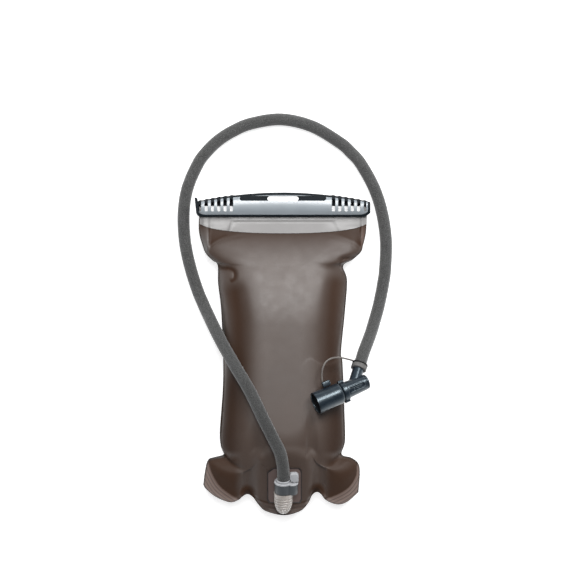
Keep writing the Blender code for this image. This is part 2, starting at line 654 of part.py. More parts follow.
def build_valve():
    dark = material("valve_body", (0.045, 0.06, 0.075), 0.25)
    soft = material("bite_silicone", (0.20, 0.21, 0.22), 0.5)
    rubber = material("valve_seal", (0.02, 0.02, 0.02), 0.6)
    frame, turn = valve_frame()
    stub = (turn.inverted() @ Vector(STUB_DIR)).normalized()
    join = Vector((0, 0, STUB_JOIN))
    spigot_end = 38.0

    body = [(0, 2.0), (8.5, 2.0), (8.8, 10), (9.5, 25), (9.5, 26), (6.6, 26), (6.6, 34.3),
            (5.5, 34.3), (5.5, 36.1), (6.6, 36.1), (6.6, spigot_end), (0, spigot_end)]
    elbow = turned("valve_elbow", body, dark, frame, 28)
    stub_end = join + stub * STUB_LENGTH
    add_boolean(elbow, rod("stub_guide", join, stub_end, 6.2, None, frame, 24), 'UNION')
    bore = turned("elbow_channel", [(0, 9), (3.6, 9), (3.6, 44), (0, 44)], None, frame, 16)
    inlet = rod("stub_channel", join, join + stub * 30, 3.6, None, frame, 16)
    add_boolean(elbow, bore, 'DIFFERENCE')
    add_boolean(elbow, inlet, 'DIFFERENCE')

    turned("elbow_end_cap", [(0, -1.2), (5.5, -1.2), (7.2, -0.7), (8.1, 0.4), (8.2, 1.6), (0, 1.6)],
           dark, frame, 28)

    # twist ring with two lugs
    ring_low, ring_high = 26.3, 33.0
    twist = turned("shutoff_ring", [(6.9, ring_low), (10.8, ring_low), (11.4, ring_low + 0.8),
                                    (11.4, ring_high), (6.9, ring_high)], dark, frame, 28)
    lugs = bmesh.new()
    for side in (-1, 1):
        outline = [(-3.2, side * 9.0), (3.2, side * 9.0), (2.6, side * 13.0), (-2.6, side * 13.0)]
        add_loft(lugs, [[(x, y, ring_low + 0.9) for x, y in outline],
                        [(x, y, ring_high - 0.5) for x, y in outline]])
    add_boolean(twist, make_object("lug_guide", lugs, None, frame), 'UNION')

    turned("valve_seal", ring(6.2, 0.4, 35.2), rubber, frame, 20)
    nozzle = [(6.9, 33.3), (10.0, 33.3), (10.0, 39.0), (7.6, 44.0), (7.2, 54.0), (6.0, 58.5),
              (3.5, 60.5), (0, 61.0), (0, 58.6), (3.0, 58.0), (3.6, 54), (3.6, 40.0),
              (6.9, spigot_end + 0.4)]
    turned("bite_nozzle", nozzle, soft, frame, 24)

    cap_low, cap_high = 33.5, 65.7
    cap = [(10.5, cap_low), (11.7, cap_low), (12.0, 45.0), (13.0, cap_high - 0.6),
           (12.5, cap_high), (11.4, cap_high), (11.0, cap_high - 2.4), (0, cap_high - 2.4),
           (0, cap_high - 3.9), (11.3, cap_high - 3.9), (10.6, 42.0)]
    turned("dust_cap", cap, dark, frame, 28)
    lug = box_outline(-2.2, 2.2, 12.6, 19.0)
    prism("cap_lug", lug, 41.5, 49.5, dark, frame)
    return frame, stub, join


def build_hose(valve, stub, join):
    sleeve = material("hose_sleeve", (0.12, 0.12, 0.12), 0.85)
    grey = material("end_collar", (0.22, 0.22, 0.21), 0.6)
    cord = material("tether_cord", (0.10, 0.10, 0.10), 0.5)
    tilt = math.radians(PORT_TILT)
    along = Vector((0, math.cos(tilt), math.sin(tilt)))
    exit_point = Vector(PORT_FACE) + along * 2.5
    out = (valve.matrix_world.to_3x3() @ stub).normalized()
    junction = valve.matrix_world @ (join * MM) / MM
    route = [exit_point, exit_point + along * 8] + [Vector(p) for p in HOSE_ROUTE]
    hose_end = STUB_LENGTH + GAP
    route += [junction + out * distance for distance in (48, 36, hose_end)]
    line = catmull_rom(route, 6)
    tube("drinking_hose", evenly(line, 60), HOSE_R, sleeve, 2)

    turn = out.to_track_quat('Z', 'Y').to_matrix()
    end = make_empty("hose_end_axis", junction, turn)
    collar = [(7.4, 0), (8.5, 0), (9.0, 0.7), (9.0, 4.7), (8.5, 5.4), (7.4, 5.4)]
    turned("hose_end_collar", [(r, hose_end + height) for r, height in collar], grey, end, 24)
    turned("tether_loop", ring(8.2, 0.8, 30.6), cord, end, 20)
    tether = evenly(catmull_rom([Vector(p) for p in TETHER_ROUTE], 6), 22)
    tube("cap_tether", tether, 0.8, cord, 2)


def build():
    clear_scene()
    front_film = build_bag()
    build_channel()
    build_cover()
    build_port(front_film)
    valve, stub, join = build_valve()
    bpy.context.view_layer.update()
    build_hose(valve, stub, join)


build()
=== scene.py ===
"""Looks of the hydration bladder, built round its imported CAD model.

Lengths in this script are in millimetres unless a name says otherwise, and are scaled by MM
when a mesh is made. The bladder lies on its back: front face +Z, slide bar towards +Y.
"""
import json
import math

import bmesh
import bpy
import numpy as np
from mathutils import Matrix, Vector, noise
from mathutils.bvhtree import BVHTree


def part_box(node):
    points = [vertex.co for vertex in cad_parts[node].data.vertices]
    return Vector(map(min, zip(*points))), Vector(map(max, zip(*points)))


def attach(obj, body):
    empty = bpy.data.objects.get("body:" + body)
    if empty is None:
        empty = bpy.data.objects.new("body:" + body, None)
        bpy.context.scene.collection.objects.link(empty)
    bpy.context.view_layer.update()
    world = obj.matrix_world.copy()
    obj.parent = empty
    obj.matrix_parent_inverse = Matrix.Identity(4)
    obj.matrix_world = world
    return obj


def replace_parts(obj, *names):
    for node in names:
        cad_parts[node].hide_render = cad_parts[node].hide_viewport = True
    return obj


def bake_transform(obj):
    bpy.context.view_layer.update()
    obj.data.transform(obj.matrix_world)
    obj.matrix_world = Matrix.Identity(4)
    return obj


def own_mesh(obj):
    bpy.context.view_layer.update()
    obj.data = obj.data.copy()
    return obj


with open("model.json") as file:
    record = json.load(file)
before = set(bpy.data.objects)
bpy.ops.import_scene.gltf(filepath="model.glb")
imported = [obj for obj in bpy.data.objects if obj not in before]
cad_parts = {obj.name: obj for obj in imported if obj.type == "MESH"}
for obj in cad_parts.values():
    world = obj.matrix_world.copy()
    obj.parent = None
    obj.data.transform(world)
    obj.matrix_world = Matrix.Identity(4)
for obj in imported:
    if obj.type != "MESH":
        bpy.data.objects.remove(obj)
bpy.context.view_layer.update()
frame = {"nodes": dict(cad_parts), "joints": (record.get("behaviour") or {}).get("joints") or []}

MM = 0.001
TAU = math.tau
SHARP = 35                      # degrees: an edge that turns further than this stays sharp


# ---------------------------------------- driving dimensions
def joint(name):
    return next(j for j in frame["joints"] if j["name"] == name)


def node_box(name):
    low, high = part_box(name)
    return low / MM, high / MM


FLOOR, STAGE_FLOOR = 0.0, -0.3   # the stage's floor lies just under what rests on FLOOR
SEAM_Z = 27.0                   # plane of the bag's welded edge
BAG_RISE, BACK_FALL = 29.6, 30.5   # how far the full bag's front and back stand from it
NECK_Y = node_box("bag_front_film")[1].y
BAR_LOW, BAR_HIGH = node_box("slider_channel")
BAR_HALF = BAR_HIGH.x
COLLAR_BOTTOM = node_box("collar_front")[0].y

HOSE_DIR = Vector(joint("hose_release")["axis"]).normalized()
VALVE_DIR = Vector(joint("cap_pull")["axis"]).normalized()
VALVE_END = Vector(joint("shutoff_twist")["pos_m"]) / MM
PORT_FACE = Vector((1.0, -143.4, 56.0))
PORT_DEPTH = 12.7               # from the port's axis down to the film
STUB_JOIN, STUB_LENGTH = 18.3, 23.6   # where the valve's stub leaves its axis, and its reach
STUB_DIR = Vector((0.29, 0.845, -0.449))
LUG_DIR = Vector((-0.397, 0.918, 0.0))   # from the valve's axis towards the cap's lug
HOSE_R, HOSE_END = 7.0, 23.9    # the hose ends this far along the stub
RIB_TURN = -0.12                # the rib lies this far round from the side that faces up
WELD_PITCH = 3.4                # between the pressed lines of a weld

# the bag's outline on three sides, as x, y
LEFT_EDGE = [
    (-95.5, NECK_Y), (-96.0, 141), (-91, 122), (-87, 114), (-80, 107), (-74.5, 102), (-74, 81),
    (-70.7, 53), (-68.4, 5), (-68.4, -37), (-71.9, -88), (-70.7, -106), (-67.3, -115),
    (-76, -118), (-85, -121), (-88.5, -131), (-91, -150),
]
BOTTOM_EDGE = [
    (-91, -150), (-88, -155), (-77, -164), (-61, -170.4), (-51, -168), (-45.5, -163.5),
    (-40, -161), (-34, -164.5), (-28, -172.5), (-19, -180.7), (1.8, -185.3), (20, -180.7),
    (29.4, -171.5), (34, -162.3), (39.4, -158.6), (44.3, -161.2), (50, -168), (62.4, -172.9),
    (74.2, -170), (87.3, -158.8),
]
RIGHT_EDGE = [
    (97.0, NECK_Y), (96, 140), (92.6, 125), (90, 117), (80, 108), (69.6, 101), (74.2, 85),
    (71.9, 50), (67.3, 2), (69, -9), (70.8, -58), (71.9, -99), (67.9, -115), (79, -119),
    (87, -125.5), (88.9, -136), (87.3, -158.8),
]
# middle lines of the two cords, as x, y, z
HOSE_ROUTE = [
    (0.2, -124, 63.4), (-2.5, -111, 65.9), (-8.7, -98, 66.3), (-22, -71.5, 66), (-37.5, -40, 63),
    (-56.5, -8.5, 52.5), (-72.2, 18.5, 36.5), (-86, 45.5, 18), (-92.5, 59.5, 11.5),
    (-98.4, 73.5, 8.2), (-107.1, 101, 7.3), (-113, 130, 7.3), (-114.5, 162, 7.3),
    (-110, 191.5, 7.3), (-98, 219.5, 7.3), (-88, 233.5, 7.3), (-74, 247, 7.3),
    (-56.5, 258, 7.3), (-36, 266.3, 7.3), (-1.7, 271.1, 7.3), (34.2, 263, 7.3),
    (66.6, 244, 7.3), (79, 233, 7.3), (90.5, 220, 7.3), (106, 192, 7.3), (115.3, 163, 7.3),
    (119.9, 130, 7.3), (118.8, 97, 7.3), (116.6, 81, 7.6), (113.8, 66.5, 8.8),
    (110.4, 52, 11.8), (106.2, 38, 16.8), (101.5, 23.5, 23.8),
]
TETHER_R = 0.95
TETHER_ROUTE = [
    (45.1, -29.9, 65.7), (44.5, -22.5, 68.0), (45.6, -14.5, 69.4), (49.0, -7.8, 69.4),
    (54.5, -4.0, 67.8), (61.0, -2.8, 64.6), (67.5, -3.4, 60.2), (74.0, -5.0, 54.2),
    (80.3, -6.9, 46.4),
]


# ---------------------------------------- mesh helpers
def smooth_but(mesh, degrees):
    """Smooth shading, with edges sharper than the angle left sharp."""
    mesh.shade_smooth()
    mesh.set_sharp_from_angle(angle=math.radians(degrees))


def link(name, mesh, mat):
    obj = bpy.data.objects.new(name, mesh)
    bpy.context.scene.collection.objects.link(obj)
    if mat:
        mesh.materials.append(mat)
    return obj


def make_object(name, bm, mat, turn=None, smooth=SHARP):
    """Object from a bmesh in millimetres, placed by an optional matrix in millimetres."""
    bmesh.ops.recalc_face_normals(bm, faces=bm.faces)
    if turn is not None:
        bmesh.ops.transform(bm, matrix=turn, verts=bm.verts)
    bmesh.ops.scale(bm, vec=(MM, MM, MM), verts=bm.verts)
    mesh = bpy.data.meshes.new(name)
    bm.to_mesh(mesh)
    bm.free()
    smooth_but(mesh, smooth)
    return link(name, mesh, mat)


def add_loft(bm, sections):
    """Skin over a row of sections, closed at both ends."""
    rings = [[bm.verts.new(point) for point in section] for section in sections]
    count = len(rings[0])
    for lower, upper in zip(rings, rings[1:]):
        for i in range(count):
            j = (i + 1) % count
            bm.faces.new((lower[i], lower[j], upper[j], upper[i]))
    bm.faces.new(rings[0])
    bm.faces.new(rings[-1])


def loft(name, sections, mat, turn=None, smooth=SHARP):
    """Closed body through rings of as many points each."""
    bm = bmesh.new()
    add_loft(bm, sections)
    return make_object(name, bm, mat, turn, smooth)


def turned(name, profile, mat, turn=None, segments=64, centre=(0.0, 0.0)):
    """Spin a closed (radius, height) profile round local Z. Radius 0 closes on the axis."""
    bm = bmesh.new()
    rings = []
    for radius, height in profile:
        around = range(segments if radius else 1)
        rings.append([bm.verts.new((centre[0] + radius * math.cos(TAU * i / segments),
                                    centre[1] + radius * math.sin(TAU * i / segments), height))
                      for i in around])
    for a, b in zip(rings, rings[1:] + rings[:1]):
        if len(a) == 1 and len(b) == 1:
            continue
        for i in range(segments):
            j = (i + 1) % segments
            corners = [a[i % len(a)], a[j % len(a)], b[j % len(b)], b[i % len(b)]]
            bm.faces.new(list(dict.fromkeys(corners)))
    return make_object(name, bm, mat, turn)


def column(radius, low, high):
    """Profile of a plain solid cylinder, for turned()."""
    return [(0, low), (radius, low), (radius, high), (0, high)]


def local_frame(origin, axis):
    """Matrix whose local +Z runs along axis from origin."""
    return Matrix.Translation(origin) @ axis.to_track_quat('Z', 'Y').to_matrix().to_4x4()


def rod(name, start, end, radius, turn, segments=32):
    """Cutter or boss: a cylinder between two points of the frame turn."""
    axis = Vector(end) - Vector(start)
    place = turn @ local_frame(Vector(start), axis)
    return turned(name, column(radius, 0, axis.length), None, place, segments)


def rounded(profile, radius, steps=4):
    """Round every corner of a closed (radius, height) profile, except on the axis."""
    pts = [Vector(p) for p in profile]
    out = []
    for i, corner in enumerate(pts):
        before, after = pts[i - 1], pts[(i + 1) % len(pts)]
        cut = min(radius, (before - corner).length * 0.45, (after - corner).length * 0.45)
        if corner.x == 0 or cut < 0.02:
            out.append((corner.x, corner.y))
            continue
        start = corner + (before - corner).normalized() * cut
        end = corner + (after - corner).normalized() * cut
        for k in range(steps + 1):
            t = k / steps
            p = start * (1 - t) ** 2 + corner * 2 * t * (1 - t) + end * t * t
            out.append((p.x, p.y))
    return out


def ring(radius, thickness, height, steps=14):
    """Profile of a round ring, for turned()."""
    return [(radius + thickness * math.cos(TAU * i / steps),
             height + thickness * math.sin(TAU * i / steps)) for i in range(steps)]


def rounded_box(low_x, high_x, low_y, high_y, radius, steps):
    """Outline of a box with rounded corners."""
    left, right, low, high = low_x + radius, high_x - radius, low_y + radius, high_y - radius
    outline = []
    for start, x, y in ((270, right, low), (0, right, high), (90, left, high), (180, left, low)):
        for i in range(steps + 1):
            angle = math.radians(start + 90 * i / steps)
            outline.append((x + radius * math.cos(angle), y + radius * math.sin(angle)))
    return [p for p, q in zip(outline, outline[-1:] + outline) if math.dist(p, q) > 1e-4]


def rounded_slot(centre_x, centre_y, length, height):
    """Outline of a slot with round ends."""
    half_x, half_y = length / 2, height / 2
    return rounded_box(centre_x - half_x, centre_x + half_x, centre_y - half_y, centre_y + half_y,
                       min(half_x, half_y), 10)


def prism(name, outline, low, high, mat, turn=None):
    return loft(name, [[(x, y, z) for x, y in outline] for z in (low, high)], mat, turn)


def lobed_outline(radius, lobe, lobe_radius, segments=96):
    """Outer outline of a circle joined to a smaller circle beside it."""
    lobe = Vector(lobe)
    outline = []
    for i in range(segments):
        ray = Vector((math.cos(TAU * i / segments), math.sin(TAU * i / segments)))
        along = ray.dot(lobe)
        inside = lobe_radius ** 2 - (lobe.length_squared - along ** 2)
        reach = along + math.sqrt(inside) if inside > 0 else 0.0
        outline.append(tuple(ray * max(radius, reach)))
    return outline


def rides(obj, body):
    """The object rides with a body."""
    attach(obj, body)
    return obj


def stand_in(obj, body, node):
    """As rides(), in place of a CAD node."""
    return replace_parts(rides(obj, body), node)


def apply_modifiers(obj):
    """Replace the object's mesh with its evaluated one."""
    depsgraph = bpy.context.evaluated_depsgraph_get()
    mesh = bpy.data.meshes.new_from_object(obj.evaluated_get(depsgraph))
    old = obj.data
    obj.modifiers.clear()
    obj.data = mesh
    bpy.data.meshes.remove(old)


def cut(obj, *cutters, operation='DIFFERENCE'):
    """Boolean each cutter into the object, apply it and delete the cutter."""
    for cutter in cutters:
        mod = obj.modifiers.new("cut", 'BOOLEAN')
        mod.operation = operation
        mod.object = cutter
        mod.solver = 'EXACT'
        apply_modifiers(obj)
        bpy.data.objects.remove(cutter, do_unlink=True)
    smooth_but(obj.data, SHARP)


def bevel_edges(obj, width, angle=40, segments=2):
    """Small rounded edges, so that they catch the light."""
    mod = obj.modifiers.new("edge", 'BEVEL')
    mod.width = width * MM
    mod.segments = segments
    mod.limit_method = 'ANGLE'
    mod.angle_limit = math.radians(angle)
    apply_modifiers(obj)
    smooth_but(obj.data, 50)


def catmull_rom(points, per_span):
    """Smooth curve through the points."""
    pts = [Vector(p) for p in points]
    pts = [2 * pts[0] - pts[1]] + pts + [2 * pts[-1] - pts[-2]]
    curve = []
    for a, b, c, d in zip(pts, pts[1:], pts[2:], pts[3:]):
        for i in range(per_span):
            t = i / per_span
            curve.append(0.5 * ((2 * b) + (c - a) * t + (2 * a - 5 * b + 4 * c - d) * t * t
                                + (3 * b - 3 * c + d - a) * t ** 3))
    return curve + [pts[-2]]


def evenly(curve, count):
    """The curve as this many evenly spaced points."""
    lengths = [0.0]
    for a, b in zip(curve, curve[1:]):
        lengths.append(lengths[-1] + (b - a).length)
    samples = []
    k = 0
    for i in range(count):
        target = lengths[-1] * i / (count - 1)
        while k < len(curve) - 2 and lengths[k + 1] < target:
            k += 1
        span = lengths[k + 1] - lengths[k]
        samples.append(curve[k].lerp(curve[k + 1], (target - lengths[k]) / span))
    return samples


def path_length(points):
    return sum((b - a).length for a, b in zip(points, points[1:]))


def sweep(name, line, radius, mat, sides):
    """Mesh tube along a line, with UVs: u once round it, v the distance along it over its girth."""
    bm = bmesh.new()
    uv = bm.loops.layers.uv.new("UVMap")
    tangent = (line[1] - line[0]).normalized()
    side = tangent.orthogonal().normalized()
    rings, lengths = [], [0.0]
    for k, point in enumerate(line):
        ahead = (line[min(k + 1, len(line) - 1)] - line[max(k - 1, 0)]).normalized()
        side = (tangent.rotation_difference(ahead) @ side).normalized()
        tangent = ahead
        up = tangent.cross(side)
        rings.append([bm.verts.new(point + radius * (side * math.cos(TAU * i / sides)
                                                     + up * math.sin(TAU * i / sides)))
                      for i in range(sides)])
        if k:
            lengths.append(lengths[-1] + (point - line[k - 1]).length)
    girth = TAU * radius
    for k in range(len(line) - 1):
        for i in range(sides):
            j = (i + 1) % sides
            face = bm.faces.new((rings[k][i], rings[k][j], rings[k + 1][j], rings[k + 1][i]))
            corners = ((i, k), (i + 1, k), (i + 1, k + 1), (i, k + 1))
            for loop, (a, b) in zip(face.loops, corners):
                loop[uv].uv = (a / sides, lengths[b] / girth)
    for cap in (rings[0], rings[-1]):
        face = bm.faces.new(cap)
        for loop in face.loops:
            loop[uv].uv = (0.0, 0.0)
    return make_object(name, bm, mat, smooth=60)


# ---------------------------------------- materials
class Nodes:
    """Short way to write a node tree."""

    def __init__(self, name):
        self.mat = bpy.data.materials.new(name)
        self.mat.use_nodes = True
        self.tree = self.mat.node_tree
        self.shader = self.tree.nodes["Principled BSDF"]

    def add(self, kind, inputs=None, **settings):
        node = self.tree.nodes.new(kind)
        for key, value in settings.items():
            setattr(node, key, value)
        for key, value in (inputs or {}).items():
            self.put(node.inputs[key], value)
        return node

    def put(self, socket, value):
        if isinstance(value, bpy.types.Node):
            value = value.outputs[0]
        if isinstance(value, bpy.types.NodeSocket):
            self.tree.links.new(value, socket)
        else:
            socket.default_value = value

    def set(self, **inputs):
        for key, value in inputs.items():
            self.put(self.shader.inputs[key.replace("_", " ")], value)

    def math(self, operation, a, b=0.0):
        return self.add("ShaderNodeMath", {0: a, 1: b}, operation=operation)

    def mix(self, factor, a, b):
        node = self.add("ShaderNodeMix", data_type='RGBA')
        for socket, value in zip((0, 6, 7), (factor, a, b)):
            self.put(node.inputs[socket], value)
        return node.outputs[2]

    def ramp(self, factor, low, high, out_low=0.0, out_high=1.0):
        return self.add("ShaderNodeMapRange", {0: factor, 1: low, 2: high, 3: out_low,
                                               4: out_high})

    def noise(self, scale, detail=3.0, rough=0.5):
        return self.add("ShaderNodeTexNoise", {"Scale": scale, "Detail": detail,
                                               "Roughness": rough, "Vector": self.place()})

    def speckle(self, scale, detail, low, high):
        """Noise spread evenly from one value to another."""
        return self.ramp(self.noise(scale, detail), 0.3, 0.7, low, high)

    def mottle(self, colour, scale, detail, low, high):
        """The colour, darkened and lightened in clouds by two factors."""
        return self.mix(self.speckle(scale, detail, 0.0, 1.0), scaled(colour, low),
                        scaled(colour, high))

    def place(self):
        if not hasattr(self, "_place"):
            self._place = self.add("ShaderNodeTexCoord").outputs["Object"]
        return self._place

    def split(self, vector):
        """X and Y of a vector."""
        return self.add("ShaderNodeSeparateXYZ", {0: vector}).outputs[:2]

    def attribute(self, name):
        return self.add("ShaderNodeAttribute", attribute_name=name).outputs["Fac"]

    def pointiness(self):
        return self.add("ShaderNodeNewGeometry").outputs["Pointiness"]

    def bump(self, height, strength, distance, under=None):
        node = self.add("ShaderNodeBump", {"Strength": strength, "Distance": distance * MM,
                                           "Height": height})
        if under:
            self.put(node.inputs["Normal"], under)
        return node


def rgb(r, g, b):
    return (r, g, b, 1.0)


def scaled(colour, k):
    return rgb(*(c * k for c in colour[:3]))


def plastic(name, colour, roughness, grain=0.15, specular=0.5, spread=0.12, wear=0.35,
            specular_tint=(1.0, 1.0, 1.0)):
    """Moulded plastic: faint mottling, fine grain and a little wear on the high spots."""
    n = Nodes(name)
    worn = n.ramp(n.pointiness(), 0.53, 0.60, 0.0, wear)
    pale = rgb(*(min(0.9, c * 1.5 + 0.03) for c in colour))
    n.set(Base_Color=n.mix(worn, n.mottle(colour, 60.0, 4.0, 1 - spread, 1 + spread), pale))
    n.set(Specular_IOR_Level=specular, Specular_Tint=rgb(*specular_tint))
    n.set(Roughness=n.speckle(420.0, 3.0, roughness - 0.04, roughness + 0.06))
    n.set(Normal=n.bump(n.noise(2600.0, 2.0), grain, 0.05))
    return n.mat


def film_material(name, colour, thin_colour, painted_shade_colour, roughness=0.50):
    """Smoky film, satin and slightly cloudy, which reads the masks that FrontFilm describes,
    painted shade and painted shadow lines among them.
    """
    n = Nodes(name)
    thin, painted_shade, weld, edge = (n.attribute(key) for key in ("thin", "painted_shade", "weld", "edge"))
    cloud = n.ramp(n.noise(14.0, 3.0, 0.55), 0.3, 0.7)
    body = n.mix(cloud, scaled(colour, 0.90), scaled(colour, 1.10))
    x, y = n.split(n.place())
    greyer = n.math('MULTIPLY', n.ramp(x, 0.06, -0.06), n.ramp(y, -0.05, 0.05))
    grey = [sum(thin_colour) / 3 * k for k in (1.06, 1.0, 0.96)]
    flat = n.mix(greyer, rgb(*thin_colour), rgb(*grey))
    ridges = n.math('SINE', n.math('MULTIPLY', weld, TAU / WELD_PITCH))
    lines = n.math('MULTIPLY', n.ramp(ridges, 0.35, 0.9), n.ramp(weld, 1.0, 2.0))
    shade = n.mix(thin, body, flat)
    shade = n.mix(n.math('MULTIPLY', lines, 0.75), shade, scaled(thin_colour, 0.2))
    # painted shade: the film darkened to deep brown wherever the shade mask is set
    shade = n.mix(painted_shade, shade, rgb(*painted_shade_colour))
    # near black along the cut edge, and along the painted shadow lines that the edge mask also
    # holds
    shade = n.mix(n.math('MULTIPLY', edge, 0.9), shade, scaled(painted_shade_colour, 0.3))
    n.set(Base_Color=shade, Specular_IOR_Level=n.ramp(painted_shade, 0.0, 1.0, 0.62, 0.16))
    n.set(Roughness=n.speckle(90.0, 4.0, roughness - 0.03, roughness + 0.05))
    fine = n.bump(n.noise(3200.0, 2.0), 0.12, 0.03)
    pressed = n.bump(lines, 0.5, 0.3, fine)
    n.set(Normal=n.bump(n.noise(34.0, 3.0), 0.10, 0.5, pressed))
    n.set(Coat_Weight=n.ramp(painted_shade, 0.0, 0.8, 0.30, 0.05), Coat_Roughness=0.50)
    return n.mat


def collar_material():
    """Milky reinforcing film, darker along its pressed lines."""
    n = Nodes("collar_film_look")
    colour = (0.232, 0.225, 0.222)
    milky = n.mottle(colour, 20.0, 3.0, 0.93, 1.05)
    pressed = n.math('MULTIPLY', n.attribute("pressed"), 0.8)
    n.set(Base_Color=n.mix(pressed, milky, scaled(colour, 0.66)))
    n.set(Roughness=n.speckle(120.0, 3.0, 0.36, 0.46))
    n.set(Normal=n.bump(n.noise(2600.0, 2.0), 0.15, 0.03))
    return n.mat


def hose_material():
    """Knitted sleeve: two crossing sets of fine yarn, with fuzz and uneven dye, and painted shade
    darkening it near the port.
    """
    n = Nodes("hose_sleeve_look")
    yarns = 34.0
    u, v = n.split(n.add("ShaderNodeTexCoord").outputs["UV"])
    waver = n.ramp(n.noise(900.0, 2.0), 0.0, 1.0, -0.12, 0.12)
    around, along = n.math('MULTIPLY', u, yarns), n.math('MULTIPLY', v, yarns)

    def yarn(way):
        phase = n.math('ADD', n.math(way, around, along), waver)
        return n.math('ABSOLUTE', n.math('SINE', n.math('MULTIPLY', phase, TAU / 2)))

    knit = n.math('MAXIMUM', yarn('ADD'), yarn('SUBTRACT'))
    height = n.math('ADD', knit, n.math('MULTIPLY', n.noise(5200.0, 2.0), 0.5))
    base = (0.068, 0.068, 0.067)
    tone = n.mix(n.ramp(knit, 0.72, 1.0), scaled(base, 0.60), scaled(base, 1.25))
    speck = n.ramp(n.noise(1300.0, 3.0), 0.40, 0.62, 0.56, 1.46)
    # uneven dye, times painted shade that darkens the sleeve over its first stretch from the port
    dye_and_shade = n.math('MULTIPLY', n.speckle(30.0, 3.0, 0.92, 1.08), n.ramp(v, 0.5, 5.0, 0.70, 1.05))
    strength = n.math('MULTIPLY', speck, dye_and_shade)
    n.set(Base_Color=n.add("ShaderNodeVectorMath", {0: tone, "Scale": strength},
                           operation='SCALE'))
    n.set(Roughness=0.88, Specular_IOR_Level=0.2, Sheen_Weight=0.35, Sheen_Roughness=0.5)
    n.set(Normal=n.bump(height, 0.55, 0.25))
    return n.mat


def rubber(name, colour, roughness):
    """Soft rubber or silicone: matt, mottled and slightly uneven."""
    n = Nodes(name)
    n.set(Base_Color=n.mottle(colour, 150.0, 3.0, 0.85, 1.15), Specular_IOR_Level=0.35)
    n.set(Roughness=n.speckle(500.0, 2.0, roughness - 0.08, roughness + 0.05))
    n.set(Normal=n.bump(n.noise(1800.0, 3.0), 0.25, 0.06))
    return n.mat


def cloudy_plastic(name, colour):
    """Translucent moulded body: milky, a little light passing through, with painted shade in its
    grooves.
    """
    n = Nodes(name)
    # painted shade: darker where the surface is hollow
    groove = n.ramp(n.pointiness(), 0.40, 0.49, 0.7, 0.0)
    milky = n.mottle(colour, 120.0, 3.0, 0.92, 1.06)
    n.set(Base_Color=n.mix(groove, milky, scaled(colour, 0.35)), Roughness=0.22, Coat_Weight=0.7)
    n.set(Subsurface_Weight=0.15, Subsurface_Scale=0.002, Subsurface_Radius=(1.0, 0.9, 0.8))
    n.set(Normal=n.bump(n.noise(700.0, 2.0), 0.08, 0.05))
    return n.mat


def steel_material():
    n = Nodes("spring_steel_look")
    n.set(Base_Color=n.mix(n.noise(800.0), rgb(0.45, 0.45, 0.47), rgb(0.65, 0.65, 0.67)))
    n.set(Metallic=1.0, Roughness=n.speckle(1500.0, 3.0, 0.2, 0.35))
    return n.mat


def build_materials():
    return {
        # the third colour of each film is the deep brown of its painted shade
        "film": film_material("bag_film_look", (0.056, 0.036, 0.027), (0.205, 0.138, 0.114),
                              (0.037, 0.0172, 0.009)),
        "patch": film_material("patch_film_look", (0.115, 0.080, 0.072), (0.29, 0.195, 0.165),
                               (0.020, 0.010, 0.007), 0.36),
        "collar": collar_material(),
        "rail": plastic("rail_look", (0.86, 0.87, 0.88), 0.35, spread=0.03),
        "channel": plastic("bar_channel_look", (0.006, 0.009, 0.012), 0.5, specular=0.08,
                           wear=0.1),
        "cover": plastic("bar_cover_look", (0.272, 0.303, 0.328), 0.32, spread=0.04, specular=1.0),
        "clear": cloudy_plastic("port_clear_look", (0.36, 0.325, 0.30)),
        "port_dark": plastic("port_dark_look", (0.05, 0.055, 0.06), 0.42),
        "silver": plastic("port_silver_look", (0.36, 0.365, 0.38), 0.28, spread=0.04),
        "hose": hose_material(),
        "hose_collar": rubber("hose_collar_look", (0.17, 0.165, 0.16), 0.65),
        "valve": plastic("valve_body_look", (0.003, 0.007, 0.013), 0.31, grain=0.006, specular=1.0,
                         wear=0.0, specular_tint=(0.78, 0.92, 1.0)),
        "valve_hollow": plastic("valve_hollow_look", (0.006, 0.008, 0.010), 0.7, specular=0.1),
        "silicone": rubber("bite_silicone_look", (0.19, 0.20, 0.21), 0.5),
        "seal": rubber("seal_look", (0.018, 0.018, 0.018), 0.55),
        "cord": rubber("tether_look", (0.15, 0.135, 0.125), 0.4),
        "loop": rubber("tether_loop_look", (0.02, 0.019, 0.018), 0.45),
        "steel": steel_material(),
    }


# ---------------------------------------- stage
SKY_COLOUR = (0.92, 0.96, 1.0, 1)
SKY_BRIGHT, SKY_DIM = (0.05, 0.85), (0.62, 0.10)   # height above the horizon, and strength
CAMERA_PLACE, CAMERA_LENS = (0.0029, 0.0792, 2.483), 135.0   # metres, looking straight down


def build_sky(scene):
    """White near the horizon and dark above it, as round a shooting table."""
    world = bpy.data.worlds.new("studio")
    world.use_nodes = True
    scene.world = world
    tree = world.node_tree
    back = tree.nodes["Background"]
    place = tree.nodes.new("ShaderNodeTexCoord")
    split = tree.nodes.new("ShaderNodeSeparateXYZ")
    ramp = tree.nodes.new("ShaderNodeMapRange")
    for socket, value in zip((1, 3, 2, 4), SKY_BRIGHT + SKY_DIM):
        ramp.inputs[socket].default_value = value
    tree.links.new(place.outputs["Generated"], split.inputs[0])
    tree.links.new(split.outputs[2], ramp.inputs[0])
    tree.links.new(ramp.outputs[0], back.inputs[1])
    back.inputs[0].default_value = SKY_COLOUR


def build_floor():
    bm = bmesh.new()
    bmesh.ops.create_grid(bm, x_segments=1, y_segments=1, size=4000)
    n = Nodes("floor_look")
    n.set(Base_Color=rgb(0.62, 0.62, 0.62), Roughness=0.6)
    n.set(Emission_Color=rgb(1, 1, 1), Emission_Strength=0.72)
    make_object("floor", bm, n.mat, Matrix.Translation((0, 0, STAGE_FLOOR)))


